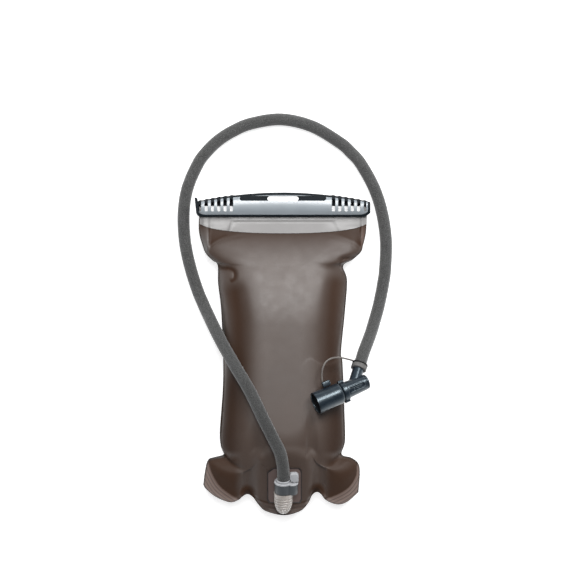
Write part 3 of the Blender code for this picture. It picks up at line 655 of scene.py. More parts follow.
def area_light(scene, name, place, aim, size, power):
    """Rectangular light; place, aim and size are in metres."""
    light = bpy.data.lights.new(name, 'AREA')
    light.shape = 'RECTANGLE'
    light.size, light.size_y = size
    light.energy = power
    obj = bpy.data.objects.new(name, light)
    obj.location = place
    obj.rotation_euler = (Vector(aim) - Vector(place)).to_track_quat('-Z', 'Y').to_euler()
    scene.collection.objects.link(obj)


def build_stage():
    scene = bpy.context.scene
    scene.view_settings.view_transform = 'Standard'
    build_sky(scene)
    build_floor()
    area_light(scene, "key_light", (-0.05, 1.12, 2.84), (0, 0.24, 0), (0.95, 1.7), 76)
    area_light(scene, "side_light", (1.25, 1.75, 2.5), (0.06, -0.04, 0.06), (0.9, 1.2), 62)
    camera_data = bpy.data.cameras.new("camera")
    camera_data.sensor_width = 36.0
    camera_data.lens = CAMERA_LENS
    camera_data.clip_end = 50.0
    camera = bpy.data.objects.new("camera", camera_data)
    camera.location = CAMERA_PLACE
    scene.collection.objects.link(camera)
    scene.camera = camera


# ---------------------------------------- bag
COLUMNS, ROWS = 168, 290
BACK_COLUMNS, BACK_ROWS = 90, 150
SKIN = 0.5                      # film thickness of the visible skins
RIM = 1.6                       # width of the dark cut edge
NECK_FLAT = 10.5                # flat stretch below the neck's end
# how far in from its sides, its neck and its foot the bag keeps rising
SIDE_REACH = 48.0
NECK_REACH, BACK_NECK_REACH = 118.0, 62.0
FOOT_REACH, BACK_FOOT_REACH = 92.0, 95.0

# folds and seams of the front, as x, y
LEFT_HOOK = [(-77, 104), (-73.7, 101.5), (-68.4, 98.9), (-60.6, 98.2), (-55.4, 95.5), (-54, 91.7),
             (-54.7, 86.4), (-60.6, 82.5)]
RIGHT_HOOK = [(86, 112.5), (83.7, 111.3), (77.2, 110.7), (70.6, 110.1), (67.0, 108), (66.2, 104),
              (65.5, 99)]
LEFT_HOLLOW = [(-58.5, 88), (-55.6, 76), (-53.1, 62), (-50.1, 40), (-49.7, 16), (-50, -6),
               (-52, -40), (-54, -75), (-57, -100)]
RIGHT_HOLLOW = [(69, 103), (66, 96), (62, 87), (58, 64), (55.5, 28), (55, 5), (57, -40),
                (60, -75), (62, -104)]
LEFT_CREASE = [(-84.6, 119.5), (-79, 124.5), (-72.5, 128.6), (-64.1, 132), (-50.2, 134.9),
               (-38, 136)]
RIGHT_CREASE = [(44, 136), (59.1, 134.9), (73, 129.9), (82.7, 125.4), (89.6, 119)]
LEFT_FLAP = [(-84.0, 152), (-84.2, 145), (-84.4, 130.6), (-85.8, 115)]
RIGHT_FLAP = [(90.6, 115), (90.0, 130.6), (89.5, 146), (89.3, 152)]
LEFT_PINCH = [(-66.8, -113.6), (-64.6, -117.0), (-66.8, -120.2), (-71.4, -123.5)]
RIGHT_PINCH = [(67.6, -114.4), (65.4, -112.0), (62.2, -106.0)]
LEFT_WELD = [(-84.2, -112), (-83.9, -124.4), (-79.8, -137.2), (-72.2, -150), (-61.9, -158.9),
             (-52.0, -165.0), (-44, -168)]
RIGHT_WELD = [(42.5, -167), (50.8, -165.3), (66, -158.9), (76.4, -151.3), (83.4, -139.8),
              (84.6, -128.3), (86.2, -117)]
CENTRE_WELD = [(-36, -160), (-28.1, -166.6), (-10.9, -171.8), (1.8, -173.3), (13.6, -171.8),
               (29, -168), (36, -160)]
NOTCHES = [(-40.0, -161.0), (39.4, -158.6)]
COLLAR_HALF, COLLAR_RISE, COLLAR_CORNER = 95.7, 7.9, 3.0
COLLAR_LEFT, COLLAR_RIGHT, COLLAR_LIFT = -95.0, 96.4, 0.35   # its ends, and its height on the film
COLLAR_COLUMNS, COLLAR_ROWS = 150, 26
COLLAR_PANEL = [(-62.0, 139.0), (-57.2, 153.6), (58.9, 153.6), (64.5, 141.0)]
COLLAR_LINES = (-91.0, 91.5)


def collar_foot(across):
    """Y of the collar's lower edge, from 0 at its middle to 1 at either end."""
    return COLLAR_BOTTOM + COLLAR_RISE * across ** 2.5 + COLLAR_CORNER * across ** 12


def smooth01(t):
    t = np.clip(t, 0, 1)
    return t * t * (3 - 2 * t)


def ease(distance, reach):
    """Rise from 0 to 1 along a quarter circle."""
    return np.sqrt(1 - (1 - np.clip(distance / reach, 0, 1)) ** 2)


def slope(distance, reach):
    """Rise from 0 to 1 along a quarter sine wave."""
    return np.sin(np.clip(distance / reach, 0, 1) * math.pi / 2)


class Line:
    """Signed distance from grid points to a curve, positive on its left, and place along it."""

    def __init__(self, x, y, points):
        line = catmull_rom([(a, b, 0) for a, b in points], 8)
        total = path_length(line)
        best = np.full(x.shape, 1e9)
        self.side = np.zeros(x.shape)
        self.along = np.zeros(x.shape)
        gone = 0.0
        for a, b in zip(line, line[1:]):
            d = b - a
            length = max(d.length, 1e-6)
            t = np.clip(((x - a.x) * d.x + (y - a.y) * d.y) / length ** 2, 0, 1)
            away = np.hypot(x - a.x - t * d.x, y - a.y - t * d.y)
            nearer = away < best
            best = np.where(nearer, away, best)
            turn = np.sign(d.x * (y - a.y) - d.y * (x - a.x))
            self.side = np.where(nearer, turn, self.side)
            self.along = np.where(nearer, (gone + t * length) / total, self.along)
            gone += length
        self.away = best
        self.signed = best * self.side

    def ends(self, fade=0.2):
        """1 along the middle of the curve, falling to 0 at both of its ends."""
        return smooth01(self.along / fade) * smooth01((1 - self.along) / fade)

    def groove(self, width):
        return np.exp(-(self.away / width) ** 2)

    def step(self, left, right):
        """1 just left of the curve and -1 just right of it, each dying away over its reach."""
        on_left = np.exp(-self.away / left)
        on_right = -np.exp(-self.away / right)
        return np.where(self.side >= 0, on_left, on_right)


def edge_samples(points, count):
    """One side of the bag's outline, as an array of evenly spaced x, y."""
    line = catmull_rom([(x, y, 0) for x, y in points], 10)
    return np.array([p[:2] for p in evenly(line, count + 1)])


class BagGrid:
    """Grid that fills the outline, with each point's distance from the sides and the foot."""

    def __init__(self, columns, rows):
        left, right = edge_samples(LEFT_EDGE, rows), edge_samples(RIGHT_EDGE, rows)
        bottom = edge_samples(BOTTOM_EDGE, columns)
        u = (np.arange(columns + 1) / columns)[None, :, None]
        v = (np.arange(rows + 1) / rows)[:, None, None]
        top = left[0] * (1 - u) + right[0] * u
        across = left[:, None] * (1 - u) + right[:, None] * u
        along = top * (1 - v) + bottom[None] * v
        corners = top * (1 - v) + (left[-1] * (1 - u) + right[-1] * u) * v
        xy = across + along - corners
        self.x, self.y = xy[..., 0], xy[..., 1]
        self.side = np.minimum(self.x - left[:, None, 0], right[:, None, 0] - self.x)
        self.foot = self.y - bottom[None, :, 1]
        self.neck = NECK_Y - NECK_FLAT - self.y     # distance below the neck's flat stretch

    def swell(self, foot_reach, neck_reach):
        """How full the bag is, 0 at its welded edge and 1 at its middle."""
        return (ease(self.side - 1.5, SIDE_REACH) * slope(self.foot - 6.0, foot_reach)
                * slope(self.neck, neck_reach))

    def rim(self):
        """1 on the cut edge of the sides and the foot."""
        return smooth01(RIM - np.minimum(self.side, self.foot))


def port_plane(y):
    """Height of the flat under the port."""
    tilt = math.asin(HOSE_DIR.z)
    foot_y = PORT_FACE.y + PORT_DEPTH * math.sin(tilt)
    foot_z = PORT_FACE.z - PORT_DEPTH * math.cos(tilt)
    return foot_z + (y - foot_y) * math.tan(tilt)


def waves(x, y, scale, seed):
    """Slow uneven waves, from -1 to 1."""
    out = [noise.noise(Vector((a / scale, b / scale, seed))) for a, b in zip(x.flat, y.flat)]
    return np.array(out).reshape(x.shape)


def soften(z, times):
    """Average each height with its neighbours."""
    for _ in range(times):
        padded = np.pad(z, 1, mode='edge')
        z = (padded[1:-1, 1:-1] * 2 + padded[:-2, 1:-1] + padded[2:, 1:-1] + padded[1:-1, :-2]
             + padded[1:-1, 2:]) / 6
    return z


class FrontFilm:
    """Shape of the front film: heights z, and masks from 0 to 1 that its material reads.

    thin is where it is a flat single layer; the mask for painted shade is set in creases, pockets,
    hollows and notches, under the collar, down the sides and towards the foot; edge is its cut edge
    and painted shadow lines under the collar's foot, at the notches and down the lower sides; and
    weld the distance in millimetres from a weld's inner line.
    """

    def __init__(self, grid):
        self.grid = grid
        self.x, self.y = grid.x, grid.y
        sag = 1 - 0.10 * np.maximum(0, (self.y - 15) / 150) ** 2
        self.z = SEAM_Z + SKIN + 0.05 + BAG_RISE * grid.swell(FOOT_REACH, NECK_REACH) * sag
        self.inside = smooth01(grid.side / 7.0) * smooth01(grid.foot / 9.0)
        self.masks = {key: np.zeros(self.x.shape) for key in ("thin", "painted_shade", "weld", "edge")}
        self.fold_shoulders()
        self.hollow_sides()
        self.fold_wedges()
        self.press_welds()
        self.pinch_foot()
        self.relax_foot()
        self.shade()
        self.flatten_port()
        self.z = np.maximum(soften(self.z, 2), SEAM_Z + SKIN + 0.05)

    def mark(self, key, value):
        self.masks[key] = np.maximum(self.masks[key], value)

    def line(self, points):
        return Line(self.grid.x, self.grid.y, points)

    def fold_shoulders(self):
        """The two folds where the neck passes into the body, with painted shade in their creases.
        """
        hook = self.line(LEFT_HOOK)
        self.z += 0.7 * hook.step(24.0, 8.0) * smooth01((1.04 - hook.along) / 0.5) * self.inside
        self.z -= 1.3 * hook.groove(2.2) * hook.ends(0.3)
        # painted shade along the left fold's crease
        self.mark("painted_shade", hook.groove(3.0) * hook.ends(0.06))
        turn = self.line(RIGHT_HOOK)
        self.z -= 0.6 * turn.step(20.0, 16.0) * turn.ends(0.25) * self.inside
        self.z -= 1.2 * turn.groove(2.2) * turn.ends(0.12)
        # painted shade along the right fold's crease
        self.mark("painted_shade", 0.8 * turn.groove(2.2) * turn.ends(0.10))

    def hollow_sides(self):
        """A long shallow hollow down each side, with painted shade along it."""
        for points, depth, fade in ((LEFT_HOLLOW, 3.2, 0.10), (RIGHT_HOLLOW, 3.6, 0.13)):
            hollow = self.line(points)
            start = smooth01(hollow.along / fade)
            self.z -= (depth * hollow.groove(10.0) * start * (1 - 0.72 * hollow.along)
                       * self.inside)
            # painted shade down the hollow
            self.mark("painted_shade", 0.95 * start * hollow.groove(11.0) * (1 - 0.35 * hollow.along))

    def fold_wedges(self):
        """The pockets under the collar's ends, and the flat wedge outside each of them, with
        painted shade in the pockets and along their creases and folds.
        """
        for points, crease_points, sign in ((LEFT_FLAP, LEFT_CREASE, -1),
                                            (RIGHT_FLAP, RIGHT_CREASE, 1)):
            flap = self.line(points)
            outer = (smooth01((sign * (self.x - points[1][0]) + 0.5) / 1.2)
                     * smooth01((self.y - 112) / 8))
            crease = self.line(crease_points)
            self.z -= 0.4 * crease.groove(1.6) * crease.ends(0.3)
            above = smooth01((crease.side * crease.away - 0.4) / 4.0)
            pocket = (above * smooth01((150.5 - self.y) / 6.0)
                      * smooth01((sign * self.x - 42.0) / 26.0) * (1 - outer))
            self.z += -1.0 * pocket + 1.2 * outer * self.inside
            # painted shade in the pocket, along its crease and along the wedge's fold
            self.mark("painted_shade", pocket)
            self.mark("painted_shade", 0.6 * crease.groove(1.2) * crease.ends(0.1))
            self.mark("painted_shade", 0.7 * flap.groove(0.9) * smooth01((self.y - 113) / 6))
            self.mark("thin", 0.8 * outer)

    def press_welds(self):
        """The flat welded lobes along the foot, with painted shade in the crease along each weld's
        inner line.
        """
        low = self.y < -110
        for points, look in ((LEFT_WELD, 0.55), (RIGHT_WELD, 0.55), (CENTRE_WELD, 0.10)):
            seam = self.line(points)
            band = (seam.side < 0) & (seam.away < 16) & low
            self.masks["weld"] = np.where(band, seam.away, self.masks["weld"])
            self.mark("thin", band * look * smooth01(seam.away / 1.2))
            self.z = np.where(band, np.minimum(self.z, SEAM_Z + SKIN + 0.6), self.z)
            # painted shade in the crease along the weld's inner line
            self.mark("painted_shade", 0.9 * seam.groove(1.2) * low)
            inner = (seam.side > 0) & low
            self.z -= np.where(inner, seam.groove(6.0), 0.0) * smooth01(self.grid.side / 6.0)

    def pinch_foot(self):
        """A short dart on each side above the lobes, and the two notches between them, with painted
        shade in the darts and painted shadow at the notches.
        """
        for points in (LEFT_PINCH, RIGHT_PINCH):
            pinch = self.line(points)
            self.z -= 1.3 * pinch.groove(3.2) * smooth01((1 - pinch.along) / 0.5) * self.inside
            # painted shade in the dart
            self.mark("painted_shade", 0.9 * pinch.groove(2.8) * smooth01((1.1 - pinch.along) / 0.5))
        for notch in NOTCHES:
            near = np.hypot(self.x - notch[0], (self.y - notch[1]) * 0.9)
            # painted shadow round the notch, near black at its point
            self.mark("painted_shade", smooth01((13.0 - near) / 7.0))
            self.mark("edge", 0.9 * smooth01((6.5 - near) / 4.0))

    def relax_foot(self):
        """The film runs smoothly from the body into its lobes."""
        near = smooth01((-92 - self.y) / 16) * self.inside
        self.z += (soften(self.z, 45) - self.z) * near

    def shade(self):
        """Painted shade under the collar, over the shoulders, down the sides, on the lobes and
        towards the foot; painted shadow lines under the collar's foot and down the lower sides; and
        its cut edge.
        """
        x, y, side = self.x, self.y, self.grid.side
        under = np.maximum(0, collar_foot(np.abs(x) / COLLAR_HALF) - y)
        # painted shadow line right under the collar's foot, and painted shade fading over 36 mm
        # below it
        self.mark("painted_shade", 0.90 * np.exp(-under / 1.8))
        self.mark("painted_shade", 0.92 * np.clip(1 - under / 36.0, 0, 1) ** 1.5)
        self.mark("edge", 0.55 * np.exp(-under / 1.1))
        double = self.masks["thin"] < 0.3
        shoulders = smooth01((np.abs(x) - 26) / 34) * smooth01((y - 88) / 18)
        right_side = smooth01((8.0 - side) / 6) * (x > 0) * (y < 95)
        low_sides = (smooth01((25 - y) / 70) * smooth01((y + 118) / 10)
                     * smooth01((34 - side) / 26))
        lobes = smooth01((np.abs(x) - 43) / 14) * smooth01((-112 - y) / 10)
        foot = smooth01((-35 - y) / 95)
        # painted shade over the shoulders, on the right rim, down the lower sides, on the lobes and
        # towards the foot
        for share, place in ((0.30, shoulders), (0.6, right_side), (1.0, low_sides),
                             (0.86, lobes), (0.15, foot)):
            self.mark("painted_shade", share * place * double)
        # painted shadow down the lower sides
        self.mark("edge", 0.35 * low_sides * double)
        self.mark("edge", self.grid.rim())

    def flatten_port(self):
        """The flat that the port stands on; elsewhere the film waves a little."""
        plane = np.maximum(port_plane(self.y), SEAM_Z + SKIN + 0.1)
        out = np.hypot(np.maximum(0, np.abs(self.x - PORT_FACE.x) - 24),
                       np.maximum(0, self.y + 121))
        weight = smooth01(1 - out / 18.0) * smooth01(self.grid.foot / 7.0)
        self.z += (plane - self.z) * weight
        self.z += 0.07 * waves(self.x, self.y, 55.0, 3.0) * self.inside * (1 - weight)


def grid_object(name, x, y, z, mat, front, values=None):
    rows, columns = x.shape
    mesh = bpy.data.meshes.new(name)
    places = np.stack([x, y, z], axis=-1).reshape(-1, 3) * MM
    a = (np.arange(rows - 1)[:, None] * columns + np.arange(columns - 1)[None]).reshape(-1)
    faces = np.stack([a + columns, a + columns + 1, a + 1, a], axis=1)
    mesh.from_pydata(places.tolist(), [], (faces if front else faces[:, ::-1]).tolist())
    mesh.shade_smooth()
    for key, value in (values or {}).items():
        attribute = mesh.attributes.new(key, 'FLOAT', 'POINT')
        attribute.data.foreach_set("value", value.reshape(-1).astype(np.float32))
    return link(name, mesh, mat)


def thicken(obj):
    """Give a sheet the film's thickness, inwards."""
    mod = obj.modifiers.new("thickness", 'SOLIDIFY')
    mod.thickness = SKIN * MM
    mod.offset = -1
    apply_modifiers(obj)
    smooth_but(obj.data, 60)


def flat_cut(grid, z):
    """Width, length and area, in metres, of a film before the bag was filled.

    Film hardly stretches, so its cut was as wide, as long and as large as its surface is now.
    """
    places = np.stack([grid.x, grid.y, z], axis=-1) * MM
    down, across = np.diff(places, axis=0), np.diff(places, axis=1)
    width = np.linalg.norm(across[..., ::2], axis=-1).sum(axis=1).max()
    length = np.linalg.norm(down[..., 1:], axis=-1).sum(axis=0).max()
    area = np.linalg.norm(np.cross(down[:, :-1], across[:-1]), axis=-1).sum()
    return round(float(width), 3), round(float(length), 3), round(float(area), 4)


def declare_films(cuts):
    """The bag's two films are held by their welded rim, with other pieces welded on them; this only
    unpacks each film's cut size.
    """
    for skin, pieces in (("bag_front_skin", ["collar_front_skin", "port_patch_skin"]),
                         ("bag_back_skin", ["collar_back_skin"])):
        width, length, area = cuts[skin]


def build_bag_skins(mats):
    grid = BagGrid(COLUMNS, ROWS)
    film = FrontFilm(grid)
    z = film.z
    front = grid_object("bag_front_skin", grid.x, grid.y, z, mats["film"], True, film.masks)
    thicken(front)
    stand_in(front, "bag", "bag_front_film")
    rear = BagGrid(BACK_COLUMNS, BACK_ROWS)
    full = rear.swell(BACK_FOOT_REACH, BACK_NECK_REACH)
    back_z = np.maximum(SEAM_Z - SKIN - 0.05 - BACK_FALL * full, FLOOR)
    thin = 0.6 * smooth01((9.0 - rear.foot) / 2.0)
    back = grid_object("bag_back_skin", rear.x, rear.y, back_z, mats["film"], False,
                       {"thin": thin, "painted_shade": 0 * thin, "weld": 0 * thin, "edge": rear.rim()})
    thicken(back)
    stand_in(back, "bag", "bag_back_film")
    cuts = {"bag_front_skin": flat_cut(grid, z), "bag_back_skin": flat_cut(rear, back_z)}
    return grid, z, cuts


# ---------------------------------------- collar and mouth
def surface_height(grid, z):
    """Function giving the front film's height at x, y, from its grid."""
    places = np.stack([grid.x, grid.y, z], axis=-1).reshape(-1, 3)
    rows, columns = grid.x.shape
    corners = [j * columns + i for j in range(rows - 1) for i in range(columns - 1)]
    faces = [(a, a + 1, a + columns + 1, a + columns) for a in corners]
    tree = BVHTree.FromPolygons([Vector(p) for p in places], faces)

    def height(x, y):
        hit = tree.ray_cast(Vector((x, y, 200.0)), Vector((0, 0, -1)))[0]
        return hit.z if hit else SEAM_Z + SKIN
    return height


def pressed_panel(x, y):
    """Where the front collar is pressed: a long panel, and a line near each end."""
    pressed = np.zeros_like(x)
    for a, b in zip(COLLAR_PANEL, COLLAR_PANEL[1:]):
        pressed = np.maximum(pressed, Line(x, y, (a, b)).groove(1.5))
    for place in COLLAR_LINES:
        pressed = np.maximum(pressed, 0.6 * np.exp(-((x - place) / 0.8) ** 2))
    return pressed


def build_collar(mats, height):
    """Milky band below the bar, on the front with a pressed panel and on the back plain."""
    u, v = np.meshgrid(np.linspace(0, 1, COLLAR_COLUMNS + 1), np.linspace(0, 1, COLLAR_ROWS + 1))
    x = COLLAR_LEFT + (COLLAR_RIGHT - COLLAR_LEFT) * u
    y = NECK_Y + (collar_foot(abs(2 * u - 1)) - NECK_Y) * v
    heights = [height(a, min(b, NECK_Y - 0.1)) for a, b in zip(x.flat, y.flat)]
    pressed = pressed_panel(x, y)
    front = np.array(heights).reshape(x.shape) + COLLAR_LIFT + 0.4 * pressed
    full = (slope(NECK_Y - NECK_FLAT - y, BACK_NECK_REACH)
            * ease(np.minimum(x - COLLAR_LEFT, COLLAR_RIGHT - x) - 1.5, SIDE_REACH))
    back = SEAM_Z - 0.45 - 2 * SKIN - BACK_FALL * full
    for face, z, press in (("front", front, pressed), ("back", back, 0 * pressed)):
        z = np.where(y > BAR_LOW.y - 0.5, np.clip(z, SEAM_Z - 2.0, SEAM_Z + 2.0), z)
        band = grid_object(f"collar_{face}_skin", x, y, z, mats["collar"], face == "front",
                           {"pressed": press})
        thicken(band)
        stand_in(band, "bag", f"collar_{face}")


def build_mouth(mats):
    """Folded end of the bag inside the bar."""
    low, high, radius, steps = NECK_Y + 0.3, 169.2, 1.6, 24
    outer = [(high - radius + radius * math.sin(math.pi * k / steps),
              SEAM_Z - radius * math.cos(math.pi * k / steps)) for k in range(steps + 1)]
    inner = [(min(y, high - 0.6), SEAM_Z + (z - SEAM_Z) * 0.6) for y, z in outer]
    section = [(low, SEAM_Z - radius)] + outer + [(low, SEAM_Z + radius)]
    section += [(low, SEAM_Z + radius * 0.6)] + inner[::-1] + [(low, SEAM_Z - radius * 0.6)]
    fold = loft("mouth_fold_skin", [[(x, y, z + 0.12 * math.sin(x / 9.0)) for y, z in section]
                                    for x in np.linspace(-95.4, 96.9, 60)], mats["collar"])
    stand_in(fold, "bag", "mouth_fold")


# ---------------------------------------- slide bar
SLOT_WIDTH, SLOT_PITCH, SLOT_COUNT, SLOT_INNER_X = 4.0, 7.2, 6, 58.5
HANGER_X, HANGER_Y, HANGER_HEIGHT = 0.6, 178.4, 5.6
HANGER_LENGTH, WINDOW_LENGTH = 99.0, 36.0   # of the slot in the cover, and in the channel
BAR_TOP, BAR_ARCH, CHANNEL_WALL = BAR_HIGH.y, 9.8, 1.8
BAR_BOTTOM, BAR_BACK, BAR_FRONT = BAR_LOW.y, BAR_LOW.z, 33.5
BAR_SECTIONS = 190

# outline of the upright tab, as its distance from the bar's left end, and y
END_TAB = [(0, 178.6), (0.4, 179.3), (1.4, 179.5), (2.4, 179.1), (2.9, 178.0), (3.6, 172.0),
           (4.6, 158.0), (3.0, 159.4), (1.8, 162.0)]


def bar_top(x, inset=0.0):
    """Y of the bar's arched top."""
    return BAR_TOP - inset - BAR_ARCH * (x / 95.0) ** 2


def slot_centres():
    return [side * (SLOT_INNER_X + SLOT_PITCH * k) for side in (-1, 1) for k in range(SLOT_COUNT)]


def scallop(x):
    """The top edge rises in a small bump over each slot."""
    return 1.2 * max(math.exp(-((x - centre) / 2.1) ** 2) for centre in slot_centres())


def slot_cutter(low_y, low_z, high_z, through_top):
    """Cutter for both rows of slots, whose end ones are narrower."""
    bm = bmesh.new()
    for x in slot_centres():
        shrink = 0.7 if abs(x) > SLOT_INNER_X + SLOT_PITCH * (SLOT_COUNT - 1.5) else 1.0
        left, right = x - SLOT_WIDTH / 2 * shrink, x + SLOT_WIDTH / 2 * shrink
        top = bar_top(x, -6.0 if through_top else 4.2)
        outline = [(left, low_y + 1.2), (left + 0.35, low_y + 0.35), (left + 1.2, low_y),
                   (right - 1.2, low_y), (right - 0.35, low_y + 0.35), (right, low_y + 1.2),
                   (right, top), (left, top)]
        add_loft(bm, [[(a, b, z) for a, b in outline] for z in (low_z, high_z)])
    return make_object("slot_cutter", bm, None)


def build_channel(mats):
    """Dark C-shaped channel that grips the rails, its left end an upright tab.

    Towards both ends its lower side rises, and the slit that the film leaves by gets wider.
    """
    wall, back, front = CHANNEL_WALL, BAR_BACK, BAR_FRONT
    sections = []
    for x in np.linspace(-BAR_HALF + 3.2, BAR_HALF, BAR_SECTIONS):
        top = bar_top(x) + scallop(x) * 0.8
        ends = max(0.0, (abs(x) - 92.0) / (BAR_HALF - 92.0))
        lift = 4.5 * ends * ends
        low = BAR_BOTTOM + lift
        lip = BAR_BOTTOM + 3.0 + max(0.0, lift - 1.3)
        slit = 2.4 + 2.2 * min(1.0, 2.0 * ends)
        sections.append([
            (x, low, SEAM_Z - slit), (x, low, back + 1.2), (x, low + 0.35, back + 0.35),
            (x, low + 1.2, back), (x, top - 1.4, back), (x, top - 0.4, back + 0.4),
            (x, top, back + 1.4), (x, top, front - 1.4), (x, top - 0.4, front - 0.4),
            (x, top - 1.4, front), (x, low + 1.2, front), (x, low + 0.35, front - 0.35),
            (x, low, front - 1.2), (x, low, SEAM_Z + slit), (x, lip, SEAM_Z + slit),
            (x, lip, front - wall), (x, bar_top(x) - wall, front - wall),
            (x, bar_top(x) - wall, back + wall), (x, lip, back + wall), (x, lip, SEAM_Z - slit),
        ])
    channel = loft("bar_channel_shell", sections, mats["channel"])
    tab = [(x - BAR_HALF, y) for x, y in END_TAB]
    cut(channel, prism("tab", tab, BAR_BACK, BAR_FRONT + 1.6, None), operation='UNION')
    window = rounded_slot(HANGER_X, HANGER_Y, WINDOW_LENGTH, HANGER_HEIGHT)
    cut(channel, slot_cutter(NECK_Y + 2.2, SEAM_Z + 3, 40, through_top=False),
        prism("window", window, 10, 40, None))
    stand_in(channel, "slider", "slider_channel")


# across the cover from its lower edge to its upper one: place, and share of its full height
COVER_PROFILE = [(0.0, 0.02), (0.02, 0.08), (0.06, 0.22), (0.11, 0.39), (0.17, 0.58), (0.24, 0.75),
                 (0.32, 0.87), (0.42, 0.95), (0.52, 0.99), (0.61, 1.0), (0.70, 0.97), (0.79, 0.91),
                 (0.87, 0.81), (0.93, 0.66), (0.97, 0.46), (0.99, 0.28), (1.0, 0.12)]


def build_cover(mats):
    """Grey convex cover with a row of slots at each end and the hanger slot."""
    base = BAR_FRONT + 0.3
    crown = node_box("slider_cover")[1].z - base
    sections = []
    for x in np.linspace(-BAR_HALF + 5.0, BAR_HALF - 3.0, BAR_SECTIONS):
        ends = max(0.0, (abs(x) - 88.0) / (BAR_HALF - 88.0))
        low = BAR_BOTTOM + 2.3 + 6.0 * ends ** 2.2
        top = bar_top(x, 3.0 - 2.0 * (x / 95.0) ** 2)
        rise = crown * (1 - 0.35 * ends ** 2)
        section = [(x, low, base)]
        section += [(x, low + (top - low) * t, base + rise * h) for t, h in COVER_PROFILE]
        section.append((x, top, base))
        sections.append(section)
    cover = loft("bar_cover_shell", sections, mats["cover"], smooth=50)
    hanger = rounded_slot(HANGER_X, HANGER_Y, HANGER_LENGTH, HANGER_HEIGHT)
    cut(cover, slot_cutter(NECK_Y + 2.0, 30, 44, through_top=True),
        prism("hanger", hanger, 30, 44, None))
    bevel_edges(cover, 0.3, angle=50)
    stand_in(cover, "slider", "slider_cover")


# ---------------------------------------- port
# in the port's own frame, from its face
PORT_FOOT = -27.0               # middle of the foot that goes into the bag
ELBOW_R, ELBOW_END = 10.8, -32.2
BUTTON_LOBE, BUTTON_CENTRE, BUTTON_BORE = (10.0, -2.5), (12.6, -2.8), 2.9
PATCH_OUTLINE = [(-18.5, -31), (-16.5, -35), (19.5, -35), (21.2, -31), (21.2, 5), (20.6, 8),
                 (18.2, 10.5), (-12, 10.5), (-18.5, 5)]


def port_matrix():
    """Frame of the port: local +Z out along the hose, local +Y into the bag, in millimetres."""
    tilt = math.asin(HOSE_DIR.z) - math.pi / 2
    return Matrix.Translation(PORT_FACE) @ Matrix.Rotation(tilt, 4, 'X')


def build_patch(mats, turn):
    """Reinforcing patch round the port, with a raised line just inside its border."""
    low, high, border = PORT_DEPTH - 1.0, PORT_DEPTH - 0.2, 1.2
    middle_x, middle_y = 1.3, -12.0

    def inset(d):
        return [(x - math.copysign(d, x - middle_x), y - math.copysign(d, y - middle_y))
                for x, y in PATCH_OUTLINE]

    levels = ((0.0, high), (0.0, low + 0.15), (0.25, low), (border, low),
              (border + 0.2, low + 0.25), (16.0, low + 0.25))
    sections = [[(x, y, z) for x, z in inset(d)] for d, y in levels]
    patch = loft("port_patch_skin", sections, mats["patch"], turn)
    edge = patch.data.attributes.new("edge", 'FLOAT', 'POINT')
    on_border = [float(i // len(PATCH_OUTLINE) < 4) for i in range(len(patch.data.vertices))]
    edge.data.foreach_set("value", on_border)
    cut(patch, rod("patch_hole", (0, 4, PORT_FOOT), (0, 22, PORT_FOOT), 6.4, turn))
    stand_in(patch, "bag", "port_patch")


def build_port_elbow(mats, turn):
    """Clear ribbed body: round end, foot into the bag, bore for the plug and drain."""
    body = [(0, -14.3), (ELBOW_R, -14.3)]
    for s in np.linspace(-15.0, ELBOW_END - 7.0, 110):
        past = max(0.0, (-20.0 - s) / 21.4)
        groove = 0.8 * max(0.0, math.sin(TAU * (s + 17.0) / 3.4)) ** 2 if s < -17.0 else 0.0
        body.append((ELBOW_R * math.sqrt(1 - past ** 2.6) - groove, s))
    body += [(2.6, ELBOW_END - 8.9), (0, ELBOW_END - 9.2)]
    elbow = turned("port_elbow_shell", body, mats["clear"], turn, 72)
    foot = rod("foot", (0, 2.0, PORT_FOOT), (0, PORT_DEPTH + 4.6, PORT_FOOT), 6.0, turn)
    cut(elbow, foot, operation='UNION')
    cut(elbow, rod("bore", (0, 0, -10), (0, 0, PORT_FOOT - 3.5), 4.6, turn),
        rod("drain", (0, 1.1, PORT_FOOT), (0, 24, PORT_FOOT), 3.7, turn))
    stand_in(elbow, "bag", "port_elbow")


def build_port(mats):
    turn = port_matrix()
    build_patch(mats, turn)
    build_port_elbow(mats, turn)

    socket = prism("port_socket_shell", lobed_outline(10.0, BUTTON_LOBE, 6.4), -14, -2.3,
                   mats["port_dark"], turn)
    bevel_edges(socket, 0.5)
    cut(socket, turned("bore", column(6.4, -20, 5), None, turn),
        turned("pocket", column(BUTTON_BORE, -11, 5), None, turn, 40, BUTTON_CENTRE))
    stand_in(socket, "bag", "port_socket")

    plate = prism("latch_plate_shell", lobed_outline(10.4, BUTTON_LOBE, 6.9), -2, 0,
                  mats["silver"], turn)
    bevel_edges(plate, 0.6, segments=3)
    cut(plate, turned("bore", column(6.7, -4, 4), None, turn),
        turned("well", column(BUTTON_BORE, -4, 4), None, turn, 40, BUTTON_CENTRE))
    stand_in(plate, "bag", "latch_plate")

    build_button(mats, turn, BUTTON_CENTRE)
    build_spring(mats, turn, BUTTON_CENTRE)

    rim = rounded([(6.5, 0.4), (8.2, 0.4), (8.2, 2.3), (6.5, 2.3)], 0.5)
    stand_in(turned("plug_ring_shell", rim, mats["silver"], turn, 64),
             "hose", "plug_ring")


